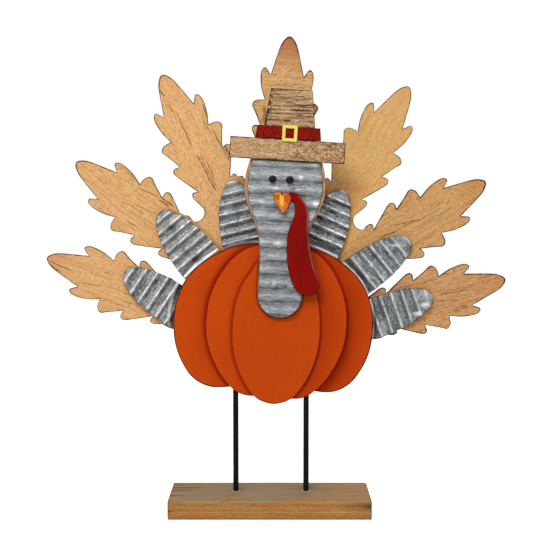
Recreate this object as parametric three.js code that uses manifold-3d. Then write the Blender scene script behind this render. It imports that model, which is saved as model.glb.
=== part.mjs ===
// A standing turkey decoration: wooden boards and corrugated sheet on two rods and a wooden base.
// Millimetres, Z up, the front faces -Y, and the origin is under the middle of the base.
// Left and right are as seen from the front.
import * as THREE from 'three';
import { mergeVertices } from 'three/addons/utils/BufferGeometryUtils.js';
import Module from 'manifold-3d';

const wasm = await Module();
wasm.setup();

// Clearances and cuts
const gap = 0.3;
const overrun = 2;
const weldDistance = 0.0001;

// Base block and the two rods, which stand behind its middle
const baseLength = 181;
const baseDepth = 67;
const baseHeight = 17;
const baseEdge = 0.8;
const baseHoleDepth = 12;
const rodDiameter = 5;
const rodSpacing = 64;
const rodPairShift = 1;
const rodSetback = 2;
const rodClearLength = 87.1;
const rodInsertLength = 43.2;
const rodHoleClearance = 0.6;
const rodFaces = 24;

// The middle of the fan of feathers, to the side of the base's middle, and how far the figure leans right
const fanSide = 4.4;
const leanAngle = 2.7;

// Board thicknesses
const middleThickness = 12;
const lobeThickness = 5;
const eggThickness = 5;
const headThickness = 4;
const hatThickness = 5;
const spacerThickness = 6.3;
const backingThickness = 3;
const leafThickness = 3;
const plateThickness = 4;
const boardEdge = 0.7;

// Pumpkin boards: half width, top above the fan's middle, height, sideways shift and turn of each
const lobesHalfWidth = 91;
const lobesTop = 58.3;
const lobesHeight = 134.3;
const lobesShift = -0.5;
const middleHalfWidth = 63.1;
const middleTop = 56.2;
const middleHeight = 137.6;
const middleShift = 2.6;
const middleTurnAngle = 1.6;
const eggHalfWidth = 39.2;
const eggTop = 52;
const eggHeight = 138.4;
const eggShift = 2.3;
const pumpkinSteps = 48;

// Half outlines from the top to the foot: shares of the half width and of the height
const lobesShares = [[0, 0], [0.41, 0.034], [0.68, 0.125], [0.88, 0.26], [0.985, 0.44], [1, 0.59],
  [0.967, 0.734], [0.885, 0.858], [0.777, 0.949], [0.62, 1], [0.42, 0.997], [0.2, 0.96], [0, 0.943]];
const middleShares = [[0, 0], [0.33, 0.013], [0.54, 0.051], [0.716, 0.126], [0.87, 0.241], [0.967, 0.362],
  [1, 0.5], [0.981, 0.625], [0.896, 0.746], [0.765, 0.857], [0.634, 0.928], [0.491, 0.981], [0.3, 1],
  [0, 0.978]];
const eggShares = [[0, 0], [0.31, 0.029], [0.485, 0.076], [0.625, 0.145], [0.83, 0.243], [0.934, 0.334],
  [0.997, 0.48], [0.98, 0.618], [0.857, 0.76], [0.648, 0.88], [0.42, 0.959], [0.21, 0.989], [0, 1]];

// Head and neck board, and the corrugated sheet on it; the foot's height is from the fan's middle
const headCentre = 4.1;
const headFoot = -7.8;
const headHeight = 148;
const neckHalfWidth = 20.2;
const headHalfWidth = 36;
const skinFootInset = 0.6;
const skinNeckInset = 0.9;
const skinHeadInset = 3;
const neckFootSteps = 14;
const headSteps = 22;

// The head's flare above the straight neck: shares of the height and of the added half width
const headFlareShares = [[0.392, 0], [0.459, 0.07], [0.547, 0.266], [0.628, 0.61], [0.696, 0.873],
  [0.77, 1], [0.851, 0.95], [0.939, 0.747], [1, 0.557]];

// Corrugated sheet
const sheetThickness = 0.6;
const sheetSwell = 1.05;
const featherPitch = 9.4;
const headPitch = 11.9;
const headCrestRise = 5.9;
const stepsPerRidge = 8;

// Eyes: tacks with domed heads, set below the head's top and to the side of its middle
const eyeDiameter = 6.8;
const eyeDome = 2;
const eyeRim = 0.5;
const eyeShankDiameter = 1.6;
const eyeShankLength = 5;
const eyeHoleClearance = 0.6;
const eyeDrop = 25;
const eyeSpacing = 15.4;
const eyeShift = -3.7;
const eyeFaces = 20;
const tackDomeSteps = 4;

// Two nails in the neck, to the side of the head's middle and above its foot
const nailDiameter = 2.2;
const nailDome = 0.7;
const nailRim = 0.3;
const nailShankDiameter = 1;
const nailShankLength = 5;
const nailHoleClearance = 0.6;
const nailLeftShift = -8.7;
const nailLeftRise = 32;
const nailRightShift = 2.8;
const nailRightRise = 29.3;
const nailFaces = 12;

// Beak: a folded heart
const beakWidth = 16.2;
const beakHeight = 19.2;
const beakDrop = 35.8;
const beakShift = -2.7;
const beakCrease = 5;
const beakRim = 1.6;
const beakSteps = 14;
const beakNotchShare = 0.13;
const beakSlantShare = 0.12;
const beakLobeShares = [[0.08, 0.02], [0.26, 0], [0.44, 0.07], [0.5, 0.24], [0.41, 0.46], [0.22, 0.75]];

// Wattle: a flat board cut in a drop that hangs from the beak
const wattleThickness = 3;
const wattleShift = 5.2;
const wattleRise = 0.1;
const wattleWidth = 31.7;
const wattleHeight = 90.5;
const wattleSteps = 66;
const wattleShares = [[0, 0.961], [0.05, 1], [0.259, 0.989], [0.42, 0.937], [0.546, 0.871], [0.606, 0.79],
  [0.606, 0.685], [0.637, 0.588], [0.722, 0.41], [0.849, 0.262], [0.968, 0.173], [1, 0.084], [0.883, 0.014],
  [0.669, 0], [0.41, 0.029], [0.224, 0.131], [0.098, 0.28], [0.047, 0.453], [0.054, 0.586], [0.139, 0.696],
  [0.221, 0.798], [0.211, 0.866], [0.114, 0.924]];

// Hat: the middle of its brim, above the head's top and to the side of its middle
const hatShift = 0.5;
const hatRise = 1;
const hatTurnAngle = 0.85;
const hatEdge = 0.4;
const brimLength = 101.3;
const brimHeight = 18.5;
const crownShift = 0.7;
const crownFootWidth = 50.8;
const crownTopWidth = 36.6;
const crownHeight = 54.2;
const bandFootWidth = 58;
const bandTopWidth = 55.2;
const bandHeight = 11;
const buckleShift = 1.15;
const buckleWidth = 13.7;
const buckleHeight = 14.9;
const buckleBar = 3.3;
const buckleOverlap = 2.1;
const buckleThickness = 1.5;

// Leaf feathers
const bladeLength = 126;
const bladeHalfWidth = 30.5;
const stemWidth = 30.6;
const stemTaperLength = 7;
const tipSteps = 18;
const lobeSteps = 9;
const shoulderRadius = 8.4;
const shoulderInset = 3.9;
const shoulderRise = 0.6;
const shoulderReach = 11.5;
const shoulderSweepAngle = 161;
const shoulderSteps = 12;

// Half of a leaf's tip, then its four lobes: shares of the blade's length and half width
const leafTipShares = [[0, 0], [0.015, 0.11], [0.063, 0.24], [0.16, 0.36]];
const leafLobeShares = [
  { notch: [0.283, 0.495], hook: [0.229, 0.656], crown: [0.266, 0.784], flank: [0.369, 0.754] },
  { notch: [0.462, 0.62], hook: [0.467, 0.866], crown: [0.5, 0.993], flank: [0.556, 0.882] },
  { notch: [0.651, 0.702], hook: [0.647, 0.885], crown: [0.677, 0.951], flank: [0.738, 0.836] },
  { notch: [0.869, 0.531], hook: [0.86, 0.689], crown: [0.892, 0.741], flank: [0.937, 0.682] },
];
const leafFootShares = [1.024, 0.531];

// Tip of each leaf: its distance and bearing from the fan's middle, and the turn of its own axis
const leafReach = 245;
const leafPlaces = {
  center: { reachShare: 1, bearingAngle: 0.5, turnAngle: 1 },
  upper: { reachShare: 0.9535, bearingAngle: 28.7, turnAngle: 28.1 },
  middle: { reachShare: 0.9127, bearingAngle: 56.8, turnAngle: 55.7 },
  lower: { reachShare: 0.871, bearingAngle: 80.8, turnAngle: 71.9 },
};

// Corrugated feathers
const featherReach = 144.5;
const featherRootHalfWidth = 22.5;
const featherRootDistance = 58;
const featherTipRadius = 9;
const featherTipSteps = 8;
const featherRootSteps = 14;
const featherFlankSteps = 8;
const featherSpreadAngle = 40;
const backingInset = 0.5;
const backingPeek = 2;

// Their places, set by hand: the tip's distance and bearing from the fan's middle, the turn of the axis,
// how wide the root is, how far apart the ridges are, how far from the tip the first one is, and how far
// askew they run, and then where a backing shows
const featherPlaces = [
  { name: 'upper_left', reachShare: 0.837, bearingAngle: -21.5,
    turnAngle: -16.5, rootShare: 1, pitchShare: 0.94, crestShare: 0.26, skewAngle: 0 },
  { name: 'middle_left', reachShare: 0.936, bearingAngle: -53.4,
    turnAngle: -41.5, rootShare: 0.92, pitchShare: 0.95, crestShare: 0.69, skewAngle: -1 },
  { name: 'lower_left', reachShare: 0.973, bearingAngle: -79.8,
    turnAngle: -58.5, rootShare: 0.86, pitchShare: 1.09, crestShare: 0.56, skewAngle: 0 },
  { name: 'upper_right', reachShare: 0.849, bearingAngle: 27.9,
    turnAngle: 22, rootShare: 0.95, pitchShare: 1, crestShare: 0.1, skewAngle: -0.5 },
  { name: 'middle_right', reachShare: 0.95, bearingAngle: 61.1,
    turnAngle: 52, rootShare: 0.84, pitchShare: 1.06, crestShare: 0.22, skewAngle: -3.5 },
  { name: 'lower_right', reachShare: 1, bearingAngle: 83.4,
    turnAngle: 65, rootShare: 0.83, pitchShare: 1.06, crestShare: 0.62, skewAngle: 3.5 },
];
const peekSides = { middle_left: 1, lower_left: -1 };

// Spacer behind the pumpkin, plate behind the leaves, and the screws through both
const spacerWidth = 100;
const spacerTop = 30;
const spacerHeight = 88;
const spacerCorner = 22;
const plateWidth = 112;
const plateTop = 50;
const plateHeight = 112;
const plateCorner = 20;
const screwHeadDiameter = 7;
const screwHeadHeight = 2.2;
const screwShankDiameter = 3;
const screwHoleClearance = 0.6;
const screwEndClearance = 1.5;
const screwRimShare = 0.5;
const screwCrownShare = 0.6;
const screwFaces = 16;
const middleScrewReach = 40;
const lowerScrewReach = 36;
const cornerSteps = 5;

// Heights and sides that follow from these sizes, from the fan's middle but for the rods and the fan itself
const rodFoot = baseHeight - baseHoleDepth + gap;
const rodLength = baseHoleDepth - gap + rodClearLength + rodInsertLength;
const fanHeight = baseHeight + rodClearLength + middleHeight - middleTop;
const headTop = headFoot + headHeight;
const eyeHeight = headTop - eyeDrop;
const beakTop = headTop - beakDrop;
const beakCentre = headCentre + beakShift;
const wattleFoot = beakTop + wattleRise - wattleHeight;
const wattleLeft = beakCentre + wattleShift;
const hatCentre = headCentre + hatShift;
const hatHeight = headTop + hatRise;
const screwReaches = { middle: middleScrewReach, lower: lowerScrewReach };

// Depths, forward from the middle of the pumpkin's middle board
const middleFront = middleThickness / 2;
const eggBack = middleFront + gap;
const eggFront = eggBack + eggThickness;
const headBack = eggFront + gap;
const headFront = headBack + headThickness;
const skinBack = headFront + gap;
const skinDepth = 2 * sheetSwell + sheetThickness;
const faceBack = skinBack + skinDepth + gap;
const hatFront = skinBack + hatThickness;
const lobesFront = -middleFront - gap;
const lobesBack = lobesFront - lobeThickness;
const spacerFront = lobesBack - gap;
const spacerBack = spacerFront - spacerThickness;
const leafFront = spacerBack - gap;
const leafBack = leafFront - leafThickness;
const plateFront = leafBack - gap;
const plateBack = plateFront - plateThickness;
const backingBack = spacerBack;
const backingFront = backingBack + backingThickness;
const featherBack = backingFront + gap;

// Materials
function paint(color, roughness, metalness = 0) {
  return new THREE.MeshStandardMaterial({ color, roughness, metalness });
}
const baseWood = paint(0xa3743f, 0.75);
const blackRod = paint(0x1b1b1b, 0.55, 0.4);
const pumpkinPaint = paint(0xc24812, 0.6);
const leafWood = paint(0xd7a774, 0.8);
const rawWood = paint(0xc9a06c, 0.85);
const galvanised = paint(0x8f9396, 0.45, 0.85);
const hatWood = paint(0xb08a62, 0.85);
const blackEnamel = paint(0x14161a, 0.3);
const beakPaint = paint(0xe8882e, 0.45);
const redPaint = paint(0x80140f, 0.5);
const buckleMetal = paint(0xe0d06a, 0.35, 0.5);
const screwMetal = paint(0xb8b8b4, 0.35, 0.9);

// Solids: between three.js geometry and solids that can be cut
function toSolid(geometry) {
  const bare = geometry.clone();
  for (const name of Object.keys(bare.attributes)) {
    if (name !== 'position') bare.deleteAttribute(name);
  }
  const merged = mergeVertices(bare, weldDistance);
  return new wasm.Manifold(new wasm.Mesh({
    numProp: 3,
    vertProperties: new Float32Array(merged.attributes.position.array),
    triVerts: new Uint32Array(merged.index.array),
  }));
}

function toGeometry(solid) {
  const mesh = solid.getMesh();
  const geometry = new THREE.BufferGeometry();
  geometry.setAttribute('position', new THREE.BufferAttribute(mesh.vertProperties, 3));
  geometry.setIndex(new THREE.BufferAttribute(mesh.triVerts, 1));
  geometry.computeVertexNormals();
  return geometry;
}

function cut(geometry, cutters) {
  const solid = cutters.reduce((left, cutter) => left.subtract(toSolid(cutter)), toSolid(geometry));
  return toGeometry(solid);
}

function common(first, second) {
  return toGeometry(toSolid(first).intersect(toSolid(second)));
}

// Flat pieces are drawn in X and Y with Z forward; the figure's group stands them up
function board(outline, back, front, edge = 0) {
  const settings = { depth: front - back - 2 * edge, bevelEnabled: edge > 0, curveSegments: 1 };
  if (edge > 0) {
    Object.assign(settings, { bevelThickness: edge, bevelSize: edge, bevelOffset: -edge, bevelSegments: 1 });
  }
  const geometry = new THREE.ExtrudeGeometry(new THREE.Shape(outline), settings);
  return geometry.translate(0, 0, back + edge);
}

// A section swept along Z is laid to run along X: the section's X becomes Y, and its Y becomes Z
function laidAcross(geometry) {
  const turn = new THREE.Matrix4().makeBasis(
    new THREE.Vector3(0, 1, 0), new THREE.Vector3(0, 0, 1), new THREE.Vector3(1, 0, 0));
  return geometry.applyMatrix4(turn);
}

function cutter(outline, back, front) {
  return board(grown(outline, gap), back - overrun, front + overrun);
}

function grown(outline, distance) {
  return outline.map((point, i) => {
    const before = outline.at(i - 1);
    const after = outline[(i + 1) % outline.length];
    const along = after.clone().sub(before).normalize();
    return point.clone().add(new THREE.Vector2(along.y, -along.x).multiplyScalar(distance));
  });
}

function placed(outline, side, height, angle) {
  const turn = -THREE.MathUtils.degToRad(angle);
  const origin = new THREE.Vector2();
  const offset = new THREE.Vector2(side, height);
  return outline.map((point) => point.clone().rotateAround(origin, turn).add(offset));
}

function mirrored(points) {
  return points.map((point) => new THREE.Vector2(-point.x, point.y)).reverse();
}

function rectangle(width, height, centreX, centreY) {
  return trapezoid(width, width, height, centreX, centreY - height / 2);
}

function trapezoid(footWidth, topWidth, height, centre, foot) {
  return [
    new THREE.Vector2(centre - footWidth / 2, foot),
    new THREE.Vector2(centre + footWidth / 2, foot),
    new THREE.Vector2(centre + topWidth / 2, foot + height),
    new THREE.Vector2(centre - topWidth / 2, foot + height),
  ];
}

function roundedRectangle(width, height, top, radius) {
  const points = [];
  const centres = [[1, 1], [-1, 1], [-1, -1], [1, -1]];
  centres.forEach(([sideX, sideY], quarter) => {
    const x = sideX * (width / 2 - radius);
    const y = top - height / 2 + sideY * (height / 2 - radius);
    for (let i = 0; i <= cornerSteps; i += 1) {
      const angle = (quarter + i / cornerSteps) * Math.PI / 2;
      points.push(new THREE.Vector2(x + radius * Math.cos(angle), y + radius * Math.sin(angle)));
    }
  });
  return points;
}

function pin(diameter, back, front, x, y, faces) {
  const geometry = new THREE.CylinderGeometry(diameter / 2, diameter / 2, front - back, faces);
  return geometry.rotateX(Math.PI / 2).translate(x, y, (back + front) / 2);
}

function ordered(outline) {
  return THREE.ShapeUtils.isClockWise(outline) ? [...outline].reverse() : outline;
}

// A closed smooth outline from shares of its half, top to foot
function roundOutline(halfShares, halfWidth, top, height, shift) {
  const right = halfShares.map(([out, down]) => new THREE.Vector2(out * halfWidth, top - down * height));
  const left = mirrored(right).slice(1, -1);
  const curve = new THREE.CatmullRomCurve3(
    [...right, ...left].map((point) => new THREE.Vector3(point.x, point.y, 0)), true, 'centripetal');
  const points = curve.getSpacedPoints(pumpkinSteps).slice(0, -1);
  return ordered(points.map((point) => new THREE.Vector2(point.x + shift, point.y)));
}

function smooth(points, steps) {
  return new THREE.SplineCurve(points).getPoints(steps);
}

// Group in which the figure is drawn
const figure = new THREE.Group();
figure.rotation.set(Math.PI / 2, THREE.MathUtils.degToRad(leanAngle), 0, 'YXZ');
figure.position.set(fanSide, rodSetback, fanHeight);
figure.updateMatrix();

function addTo(group, name, geometry, material) {
  const mesh = new THREE.Mesh(geometry, material);
  mesh.name = name;
  group.add(mesh);
  return mesh;
}

// Base and rods
function rodPlaces() {
  return [['left', rodPairShift - rodSpacing / 2], ['right', rodPairShift + rodSpacing / 2]];
}

function uprightRod(diameter, foot, top, x) {
  const geometry = new THREE.CylinderGeometry(diameter / 2, diameter / 2, top - foot, rodFaces);
  return geometry.rotateX(Math.PI / 2).translate(x, rodSetback, (foot + top) / 2);
}

function rodHole(foot, top, x) {
  return uprightRod(rodDiameter + rodHoleClearance, foot, top, x);
}

function makeBase() {
  const section = rectangle(baseDepth, baseHeight, 0, baseHeight / 2);
  const block = laidAcross(board(section, -baseLength / 2, baseLength / 2, baseEdge));
  const holes = rodPlaces().map(([, x]) => rodHole(baseHeight - baseHoleDepth, baseHeight + overrun, x));
  return cut(block, holes);
}

function addStand(group) {
  addTo(group, 'base_block', makeBase(), baseWood);
  for (const [side, x] of rodPlaces()) {
    addTo(group, `leg_rod_${side}`, uprightRod(rodDiameter, rodFoot, rodFoot + rodLength, x), blackRod);
  }
}

// Pumpkin
function makeMiddleBoard() {
  const outline = roundOutline(middleShares, middleHalfWidth, middleTop, middleHeight, 0);
  const turned = placed(outline, middleShift, 0, middleTurnAngle);
  const solid = board(turned, -middleFront, middleFront, boardEdge);
  const intoFigure = figure.matrix.clone().invert();
  const holes = rodPlaces().map(([, x]) => rodHole(baseHeight, rodFoot + rodLength + gap, x));
  holes.forEach((hole) => hole.applyMatrix4(intoFigure));
  return cut(solid, holes);
}

function addPumpkin(group) {
  const lobes = roundOutline(lobesShares, lobesHalfWidth, lobesTop, lobesHeight, lobesShift);
  const egg = roundOutline(eggShares, eggHalfWidth, eggTop, eggHeight, eggShift);
  addTo(group, 'pumpkin_back_board', board(lobes, lobesBack, lobesFront, boardEdge), pumpkinPaint);
  addTo(group, 'pumpkin_middle_board', makeMiddleBoard(), pumpkinPaint);
  addTo(group, 'pumpkin_front_board', board(egg, eggBack, eggFront, boardEdge), pumpkinPaint);
}

// Head, neck and face
function headOutline(footInset, neckInset, headInset) {
  const neck = neckHalfWidth - neckInset;
  const flare = headHalfWidth - headInset - neck;
  const foot = headFoot + footInset;
  const points = [];
  for (let i = 0; i <= neckFootSteps; i += 1) {
    const angle = (i / neckFootSteps - 1) * Math.PI / 2;
    points.push(new THREE.Vector2(neck * Math.cos(angle), foot + neck + neck * Math.sin(angle)));
  }
  const rise = headFlareShares.map(
    ([up, out]) => new THREE.Vector2(neck + flare * out, headFoot + headHeight * up));
  const right = [...points, ...smooth(rise, headSteps)];
  const whole = [...right, ...mirrored(right).slice(0, -1)];
  return whole.map((point) => point.add(new THREE.Vector2(headCentre, 0)));
}

// A sheet cut to an outline, its ridges running across it with a crest at the given height
function corrugated(outline, back, pitch, crest) {
  const box = new THREE.Box2().setFromPoints(outline);
  const first = crest - Math.ceil((crest - box.min.y + overrun) / pitch) * pitch;
  const stepCount = Math.ceil((box.max.y + overrun - first) / pitch * stepsPerRidge);
  const middle = back + sheetSwell + sheetThickness / 2;
  const wave = [];
  for (let i = 0; i <= stepCount; i += 1) {
    const phase = i / stepsPerRidge * 2 * Math.PI;
    const along = first + i / stepsPerRidge * pitch;
    wave.push(new THREE.Vector2(along, middle + sheetSwell * Math.cos(phase)));
  }
  const upper = wave.map((point) => new THREE.Vector2(point.x, point.y + sheetThickness / 2)).reverse();
  const lower = wave.map((point) => new THREE.Vector2(point.x, point.y - sheetThickness / 2));
  const sheet = laidAcross(board([...lower, ...upper], box.min.x - overrun, box.max.x + overrun));
  return common(sheet, board(outline, back - overrun, back + skinDepth + overrun));
}

function eyePlaces() {
  const middle = headCentre + eyeShift;
  return [['left', middle - eyeSpacing / 2, eyeHeight], ['right', middle + eyeSpacing / 2, eyeHeight]];
}

function nailPlaces() {
  return [
    ['left', headCentre + nailLeftShift, headFoot + nailLeftRise],
    ['right', headCentre + nailRightShift, headFoot + nailRightRise],
  ];
}

const eye = {
  diameter: eyeDiameter, dome: eyeDome, rim: eyeRim, shankDiameter: eyeShankDiameter,
  shankLength: eyeShankLength, clearance: eyeHoleClearance, faces: eyeFaces,
};
const nail = {
  diameter: nailDiameter, dome: nailDome, rim: nailRim, shankDiameter: nailShankDiameter,
  shankLength: nailShankLength, clearance: nailHoleClearance, faces: nailFaces,
};

// A tack with a domed head, driven through the sheet into the head's board
function makeTack(tack, x, y) {
  const radius = tack.diameter / 2;
  const shank = tack.shankDiameter / 2;
  const profile = [new THREE.Vector2(0, -tack.shankLength), new THREE.Vector2(shank, -tack.shankLength),
    new THREE.Vector2(shank, 0), new THREE.Vector2(radius, 0), new THREE.Vector2(radius, tack.rim)];
  for (let i = 1; i < tackDomeSteps; i += 1) {
    const angle = i / tackDomeSteps * Math.PI / 2;
    const rise = (tack.dome - tack.rim) * Math.sin(angle);
    profile.push(new THREE.Vector2(radius * Math.cos(angle), tack.rim + rise));
  }
  profile.push(new THREE.Vector2(0, tack.dome));
  return new THREE.LatheGeometry(profile, tack.faces).rotateX(Math.PI / 2).translate(x, y, faceBack);
}

function tackHole(tack, x, y) {
  const back = faceBack - tack.shankLength - gap;
  return pin(tack.shankDiameter + tack.clearance, back, faceBack + overrun, x, y, tack.faces);
}

function beakOutline() {
  const notch = new THREE.Vector2(0, -beakNotchShare * beakHeight);
  const lobe = beakLobeShares.map(([out, down]) => new THREE.Vector2(out * beakWidth, -down * beakHeight));
  const tip = new THREE.Vector2(0, -beakHeight);
  const right = smooth([notch, ...lobe, tip], beakSteps);
  const whole = [...right, ...mirrored(right).slice(1, -1)];
  const slanted = whole.map((point) => new THREE.Vector2(point.x - beakSlantShare * point.y, point.y));
  return ordered(placed(slanted, beakCentre, beakTop, 0));
}

function makeBeak() {
  const rimAt = (side) => beakCrease - (beakCrease - beakRim) * side / (beakWidth / 2);
  const roof = [
    new THREE.Vector2(-beakWidth, rimAt(beakWidth) - overrun),
    new THREE.Vector2(beakWidth, rimAt(beakWidth) - overrun),
    new THREE.Vector2(beakWidth, rimAt(beakWidth)),
    new THREE.Vector2(0, beakCrease),
    new THREE.Vector2(-beakWidth, rimAt(beakWidth)),
  ];
  const folded = board(roof, -overrun, beakHeight + overrun).rotateX(Math.PI / 2);
  folded.rotateZ(Math.atan(beakSlantShare)).translate(beakCentre, beakTop, faceBack);
  return common(board(beakOutline(), faceBack, faceBack + beakCrease + overrun), folded);
}

function wattleOutline() {
  const points = wattleShares.map(([across, up]) => new THREE.Vector3(
    wattleLeft + across * wattleWidth, wattleFoot + up * wattleHeight, 0));
  const curve = new THREE.CatmullRomCurve3(points, true, 'centripetal');
  const spaced = curve.getSpacedPoints(wattleSteps).slice(0, -1);
  return ordered(spaced.map((point) => new THREE.Vector2(point.x, point.y)));
}

function makeWattle() {
  const front = faceBack + wattleThickness;
  return cut(board(wattleOutline(), faceBack, front), [cutter(beakOutline(), faceBack, front)]);
}

function addHead(group) {
  const eyeHoles = eyePlaces().map(([, x, y]) => tackHole(eye, x, y));
  const nailHoles = nailPlaces().map(([, x, y]) => tackHole(nail, x, y));
  const holes = [...eyeHoles, ...nailHoles];
  const back = board(headOutline(0, 0, 0), headBack, headFront);
  const crown = placedInHat(crownOutline());
  addTo(group, 'head_board', cut(back, [cutter(crown, headBack, headFront), ...holes]), rawWood);
  const skinOutline = headOutline(skinFootInset, skinNeckInset, skinHeadInset);
  const skin = corrugated(skinOutline, skinBack, headPitch, headFoot + headCrestRise);
  const brim = cutter(placedInHat(brimOutline()), skinBack, hatFront);
  addTo(group, 'head_metal', cut(skin, [brim, ...holes]), galvanised);
  for (const [side, x, y] of eyePlaces()) {
    addTo(group, `eye_${side}`, makeTack(eye, x, y), blackEnamel);
  }
  for (const [side, x, y] of nailPlaces()) {
    addTo(group, `neck_nail_${side}`, makeTack(nail, x, y), screwMetal);
  }
  addTo(group, 'beak', makeBeak(), beakPaint);
  addTo(group, 'wattle', makeWattle(), redPaint);
}

// Hat, drawn around the middle of its brim
function brimOutline() {
  return rectangle(brimLength, brimHeight, 0, 0);
}

function crownOutline() {
  return trapezoid(crownFootWidth, crownTopWidth, crownHeight, crownShift, gap - hatRise);
}

function placedInHat(outline) {
  return placed(outline, hatCentre, hatHeight, hatTurnAngle);
}

function makeBuckle() {
  const middle = brimHeight / 2 - buckleOverlap + buckleHeight / 2;
  const inner = rectangle(buckleWidth - 2 * buckleBar, buckleHeight - 2 * buckleBar, buckleShift, middle);
  const outer = rectangle(buckleWidth, buckleHeight, buckleShift, middle);
  const back = hatFront + gap;
  const front = back + buckleThickness;
  return cut(board(outer, back, front), [board(inner, back - overrun, front + overrun)]);
}

function addHat(group) {
  const hat = new THREE.Group();
  hat.position.set(hatCentre, hatHeight, 0);
  hat.rotation.z = -THREE.MathUtils.degToRad(hatTurnAngle);
  const band = trapezoid(bandFootWidth, bandTopWidth, bandHeight, 0, brimHeight / 2 + gap);
  addTo(hat, 'hat_crown', board(crownOutline(), headBack, headFront, hatEdge), hatWood);
  addTo(hat, 'hat_brim', board(brimOutline(), skinBack, hatFront, hatEdge), hatWood);
  addTo(hat, 'hat_band', board(band, skinBack, hatFront), redPaint);
  addTo(hat, 'hat_buckle', makeBuckle(), buckleMetal);
  group.add(hat);
}

// Leaf feathers, drawn with the tip at the top and the stem hanging below it
function bladePoint([down, out]) {
  return new THREE.Vector2(out * bladeHalfWidth, -down * bladeLength);
}

function shoulderPoints() {
  const centre = new THREE.Vector2(bladeHalfWidth - shoulderInset, shoulderRise - bladeLength);
  const points = [];
  for (let i = 0; i <= shoulderSteps; i += 1) {
    const angle = Math.PI + THREE.MathUtils.degToRad(shoulderSweepAngle) * i / shoulderSteps;
    const out = new THREE.Vector2(Math.cos(angle), Math.sin(angle)).multiplyScalar(shoulderRadius);
    points.push(out.add(centre));
  }
  points.push(new THREE.Vector2(bladeHalfWidth + shoulderReach, centre.y - shoulderRadius / 2));
  return points;
}

function halfLeaf(stemLength, shouldered) {
  const shoulder = shoulderPoints();
  const foot = bladePoint(leafFootShares);
  const stemTop = new THREE.Vector2(stemWidth / 2, foot.y - stemTaperLength);
  const end = shouldered ? shoulder[0] : foot;
  const points = leafLobeShares.flatMap((lobe, i) => {
    const next = leafLobeShares[i + 1];
    const stops = [lobe.notch, lobe.hook, lobe.crown, lobe.flank].map(bladePoint);
    return smooth([...stops, next ? bladePoint(next.notch) : end], lobeSteps).slice(0, -1);
  });
  points.push(...(shouldered ? shoulder : [foot, stemTop]));
  points.push(new THREE.Vector2(stemWidth / 2, -stemLength));
  return points;
}

function leafOutline(stemLength, shoulders) {
  const tipHalf = [...leafTipShares, leafLobeShares[0].notch].map(bladePoint);
  const tip = smooth([...mirrored(tipHalf).slice(0, -1), ...tipHalf], tipSteps).slice(1, -1);
  const right = halfLeaf(stemLength, shoulders.includes('right'));
  const left = mirrored(halfLeaf(stemLength, shoulders.includes('left')));
  return ordered([...left, ...tip, ...right]);
}

function leafPlace(kind, side) {
  const { reachShare, bearingAngle, turnAngle } = leafPlaces[kind];
  const reach = leafReach * reachShare;
  const bearing = THREE.MathUtils.degToRad(bearingAngle);
  const way = side < 0 ? -1 : 1;
  const x = way * reach * Math.sin(bearing);
  const y = reach * Math.cos(bearing);
  const stemLength = reach * Math.cos(THREE.MathUtils.degToRad(bearingAngle - turnAngle));
  return { x, y, turn: way * turnAngle, stemLength };
}

function placedLeaf(kind, side) {
  const { x, y, turn, stemLength } = leafPlace(kind, side);
  const outward = side < 0 ? ['left'] : ['right'];
  const shoulders = { center: ['left', 'right'], upper: outward, middle: [], lower: [] }[kind];
  return placed(leafOutline(stemLength, shoulders), x, y, turn);
}

function screwPlace(kind, side) {
  const { x, y, turn, stemLength } = leafPlace(kind, side);
  return placed([new THREE.Vector2(0, screwReaches[kind] - stemLength)], x, y, turn)[0];
}

// Each root is cut back to the feathers that lie whole beside it and to the middle of the fan
function rootCutters(kind, side) {
  const leafCutter = (other, otherSide) => cutter(placedLeaf(other, otherSide), leafBack, leafFront);
  const far = rectangle(plateWidth, plateHeight, side * (gap - plateWidth) / 2, 0);
  const beyondMiddle = board(far, leafBack - overrun, leafFront + overrun);
  const screw = kind in screwReaches ? [screwHole(kind, side)] : [];
  return {
    center: () => [-1, 1].flatMap((each) => [leafCutter('upper', each), leafCutter('middle', each)]),
    upper: () => [leafCutter('middle', side), beyondMiddle],
    middle: () => [beyondMiddle, ...screw],
    lower: () => [leafCutter('middle', side), ...screw],
  }[kind]();
}

function addLeaf(group, kind, side) {
  const sideName = { '-1': '_left', 0: '', 1: '_right' }[side];
  const solid = board(placedLeaf(kind, side), leafBack, leafFront);
  addTo(group, `leaf_feather_${kind}${sideName}`, cut(solid, rootCutters(kind, side)), leafWood);
}

// Corrugated feathers, drawn with the tip at the top, and their backings
function featherOutline(rootHalfWidth, inset) {
  const radius = featherTipRadius - inset;
  const root = rootHalfWidth - inset;
  const spread = THREE.MathUtils.degToRad(featherSpreadAngle);
  const points = [];
  for (let i = 0; i <= featherRootSteps; i += 1) {
    const angle = (i / featherRootSteps - 1) * Math.PI / 2;
    points.push(new THREE.Vector2(root * Math.cos(angle), -featherRootDistance + root * Math.sin(angle)));
  }
  const side = new THREE.Vector2(radius * Math.cos(spread), radius * Math.sin(spread) - featherTipRadius);
  const reach = (root - side.x) / Math.sin(spread);
  const bend = new THREE.Vector2(root, side.y - reach * Math.cos(spread));
  const flank = new THREE.QuadraticBezierCurve(points.at(-1), bend, side);
  points.push(...flank.getPoints(featherFlankSteps).slice(1));
  for (let i = 1; i <= featherTipSteps; i += 1) {
    const angle = spread + (Math.PI / 2 - spread) * i / featherTipSteps;
    points.push(new THREE.Vector2(radius * Math.cos(angle), radius * Math.sin(angle) - featherTipRadius));
  }
  return [...points, ...mirrored(points).slice(1, -1)];
}

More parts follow.
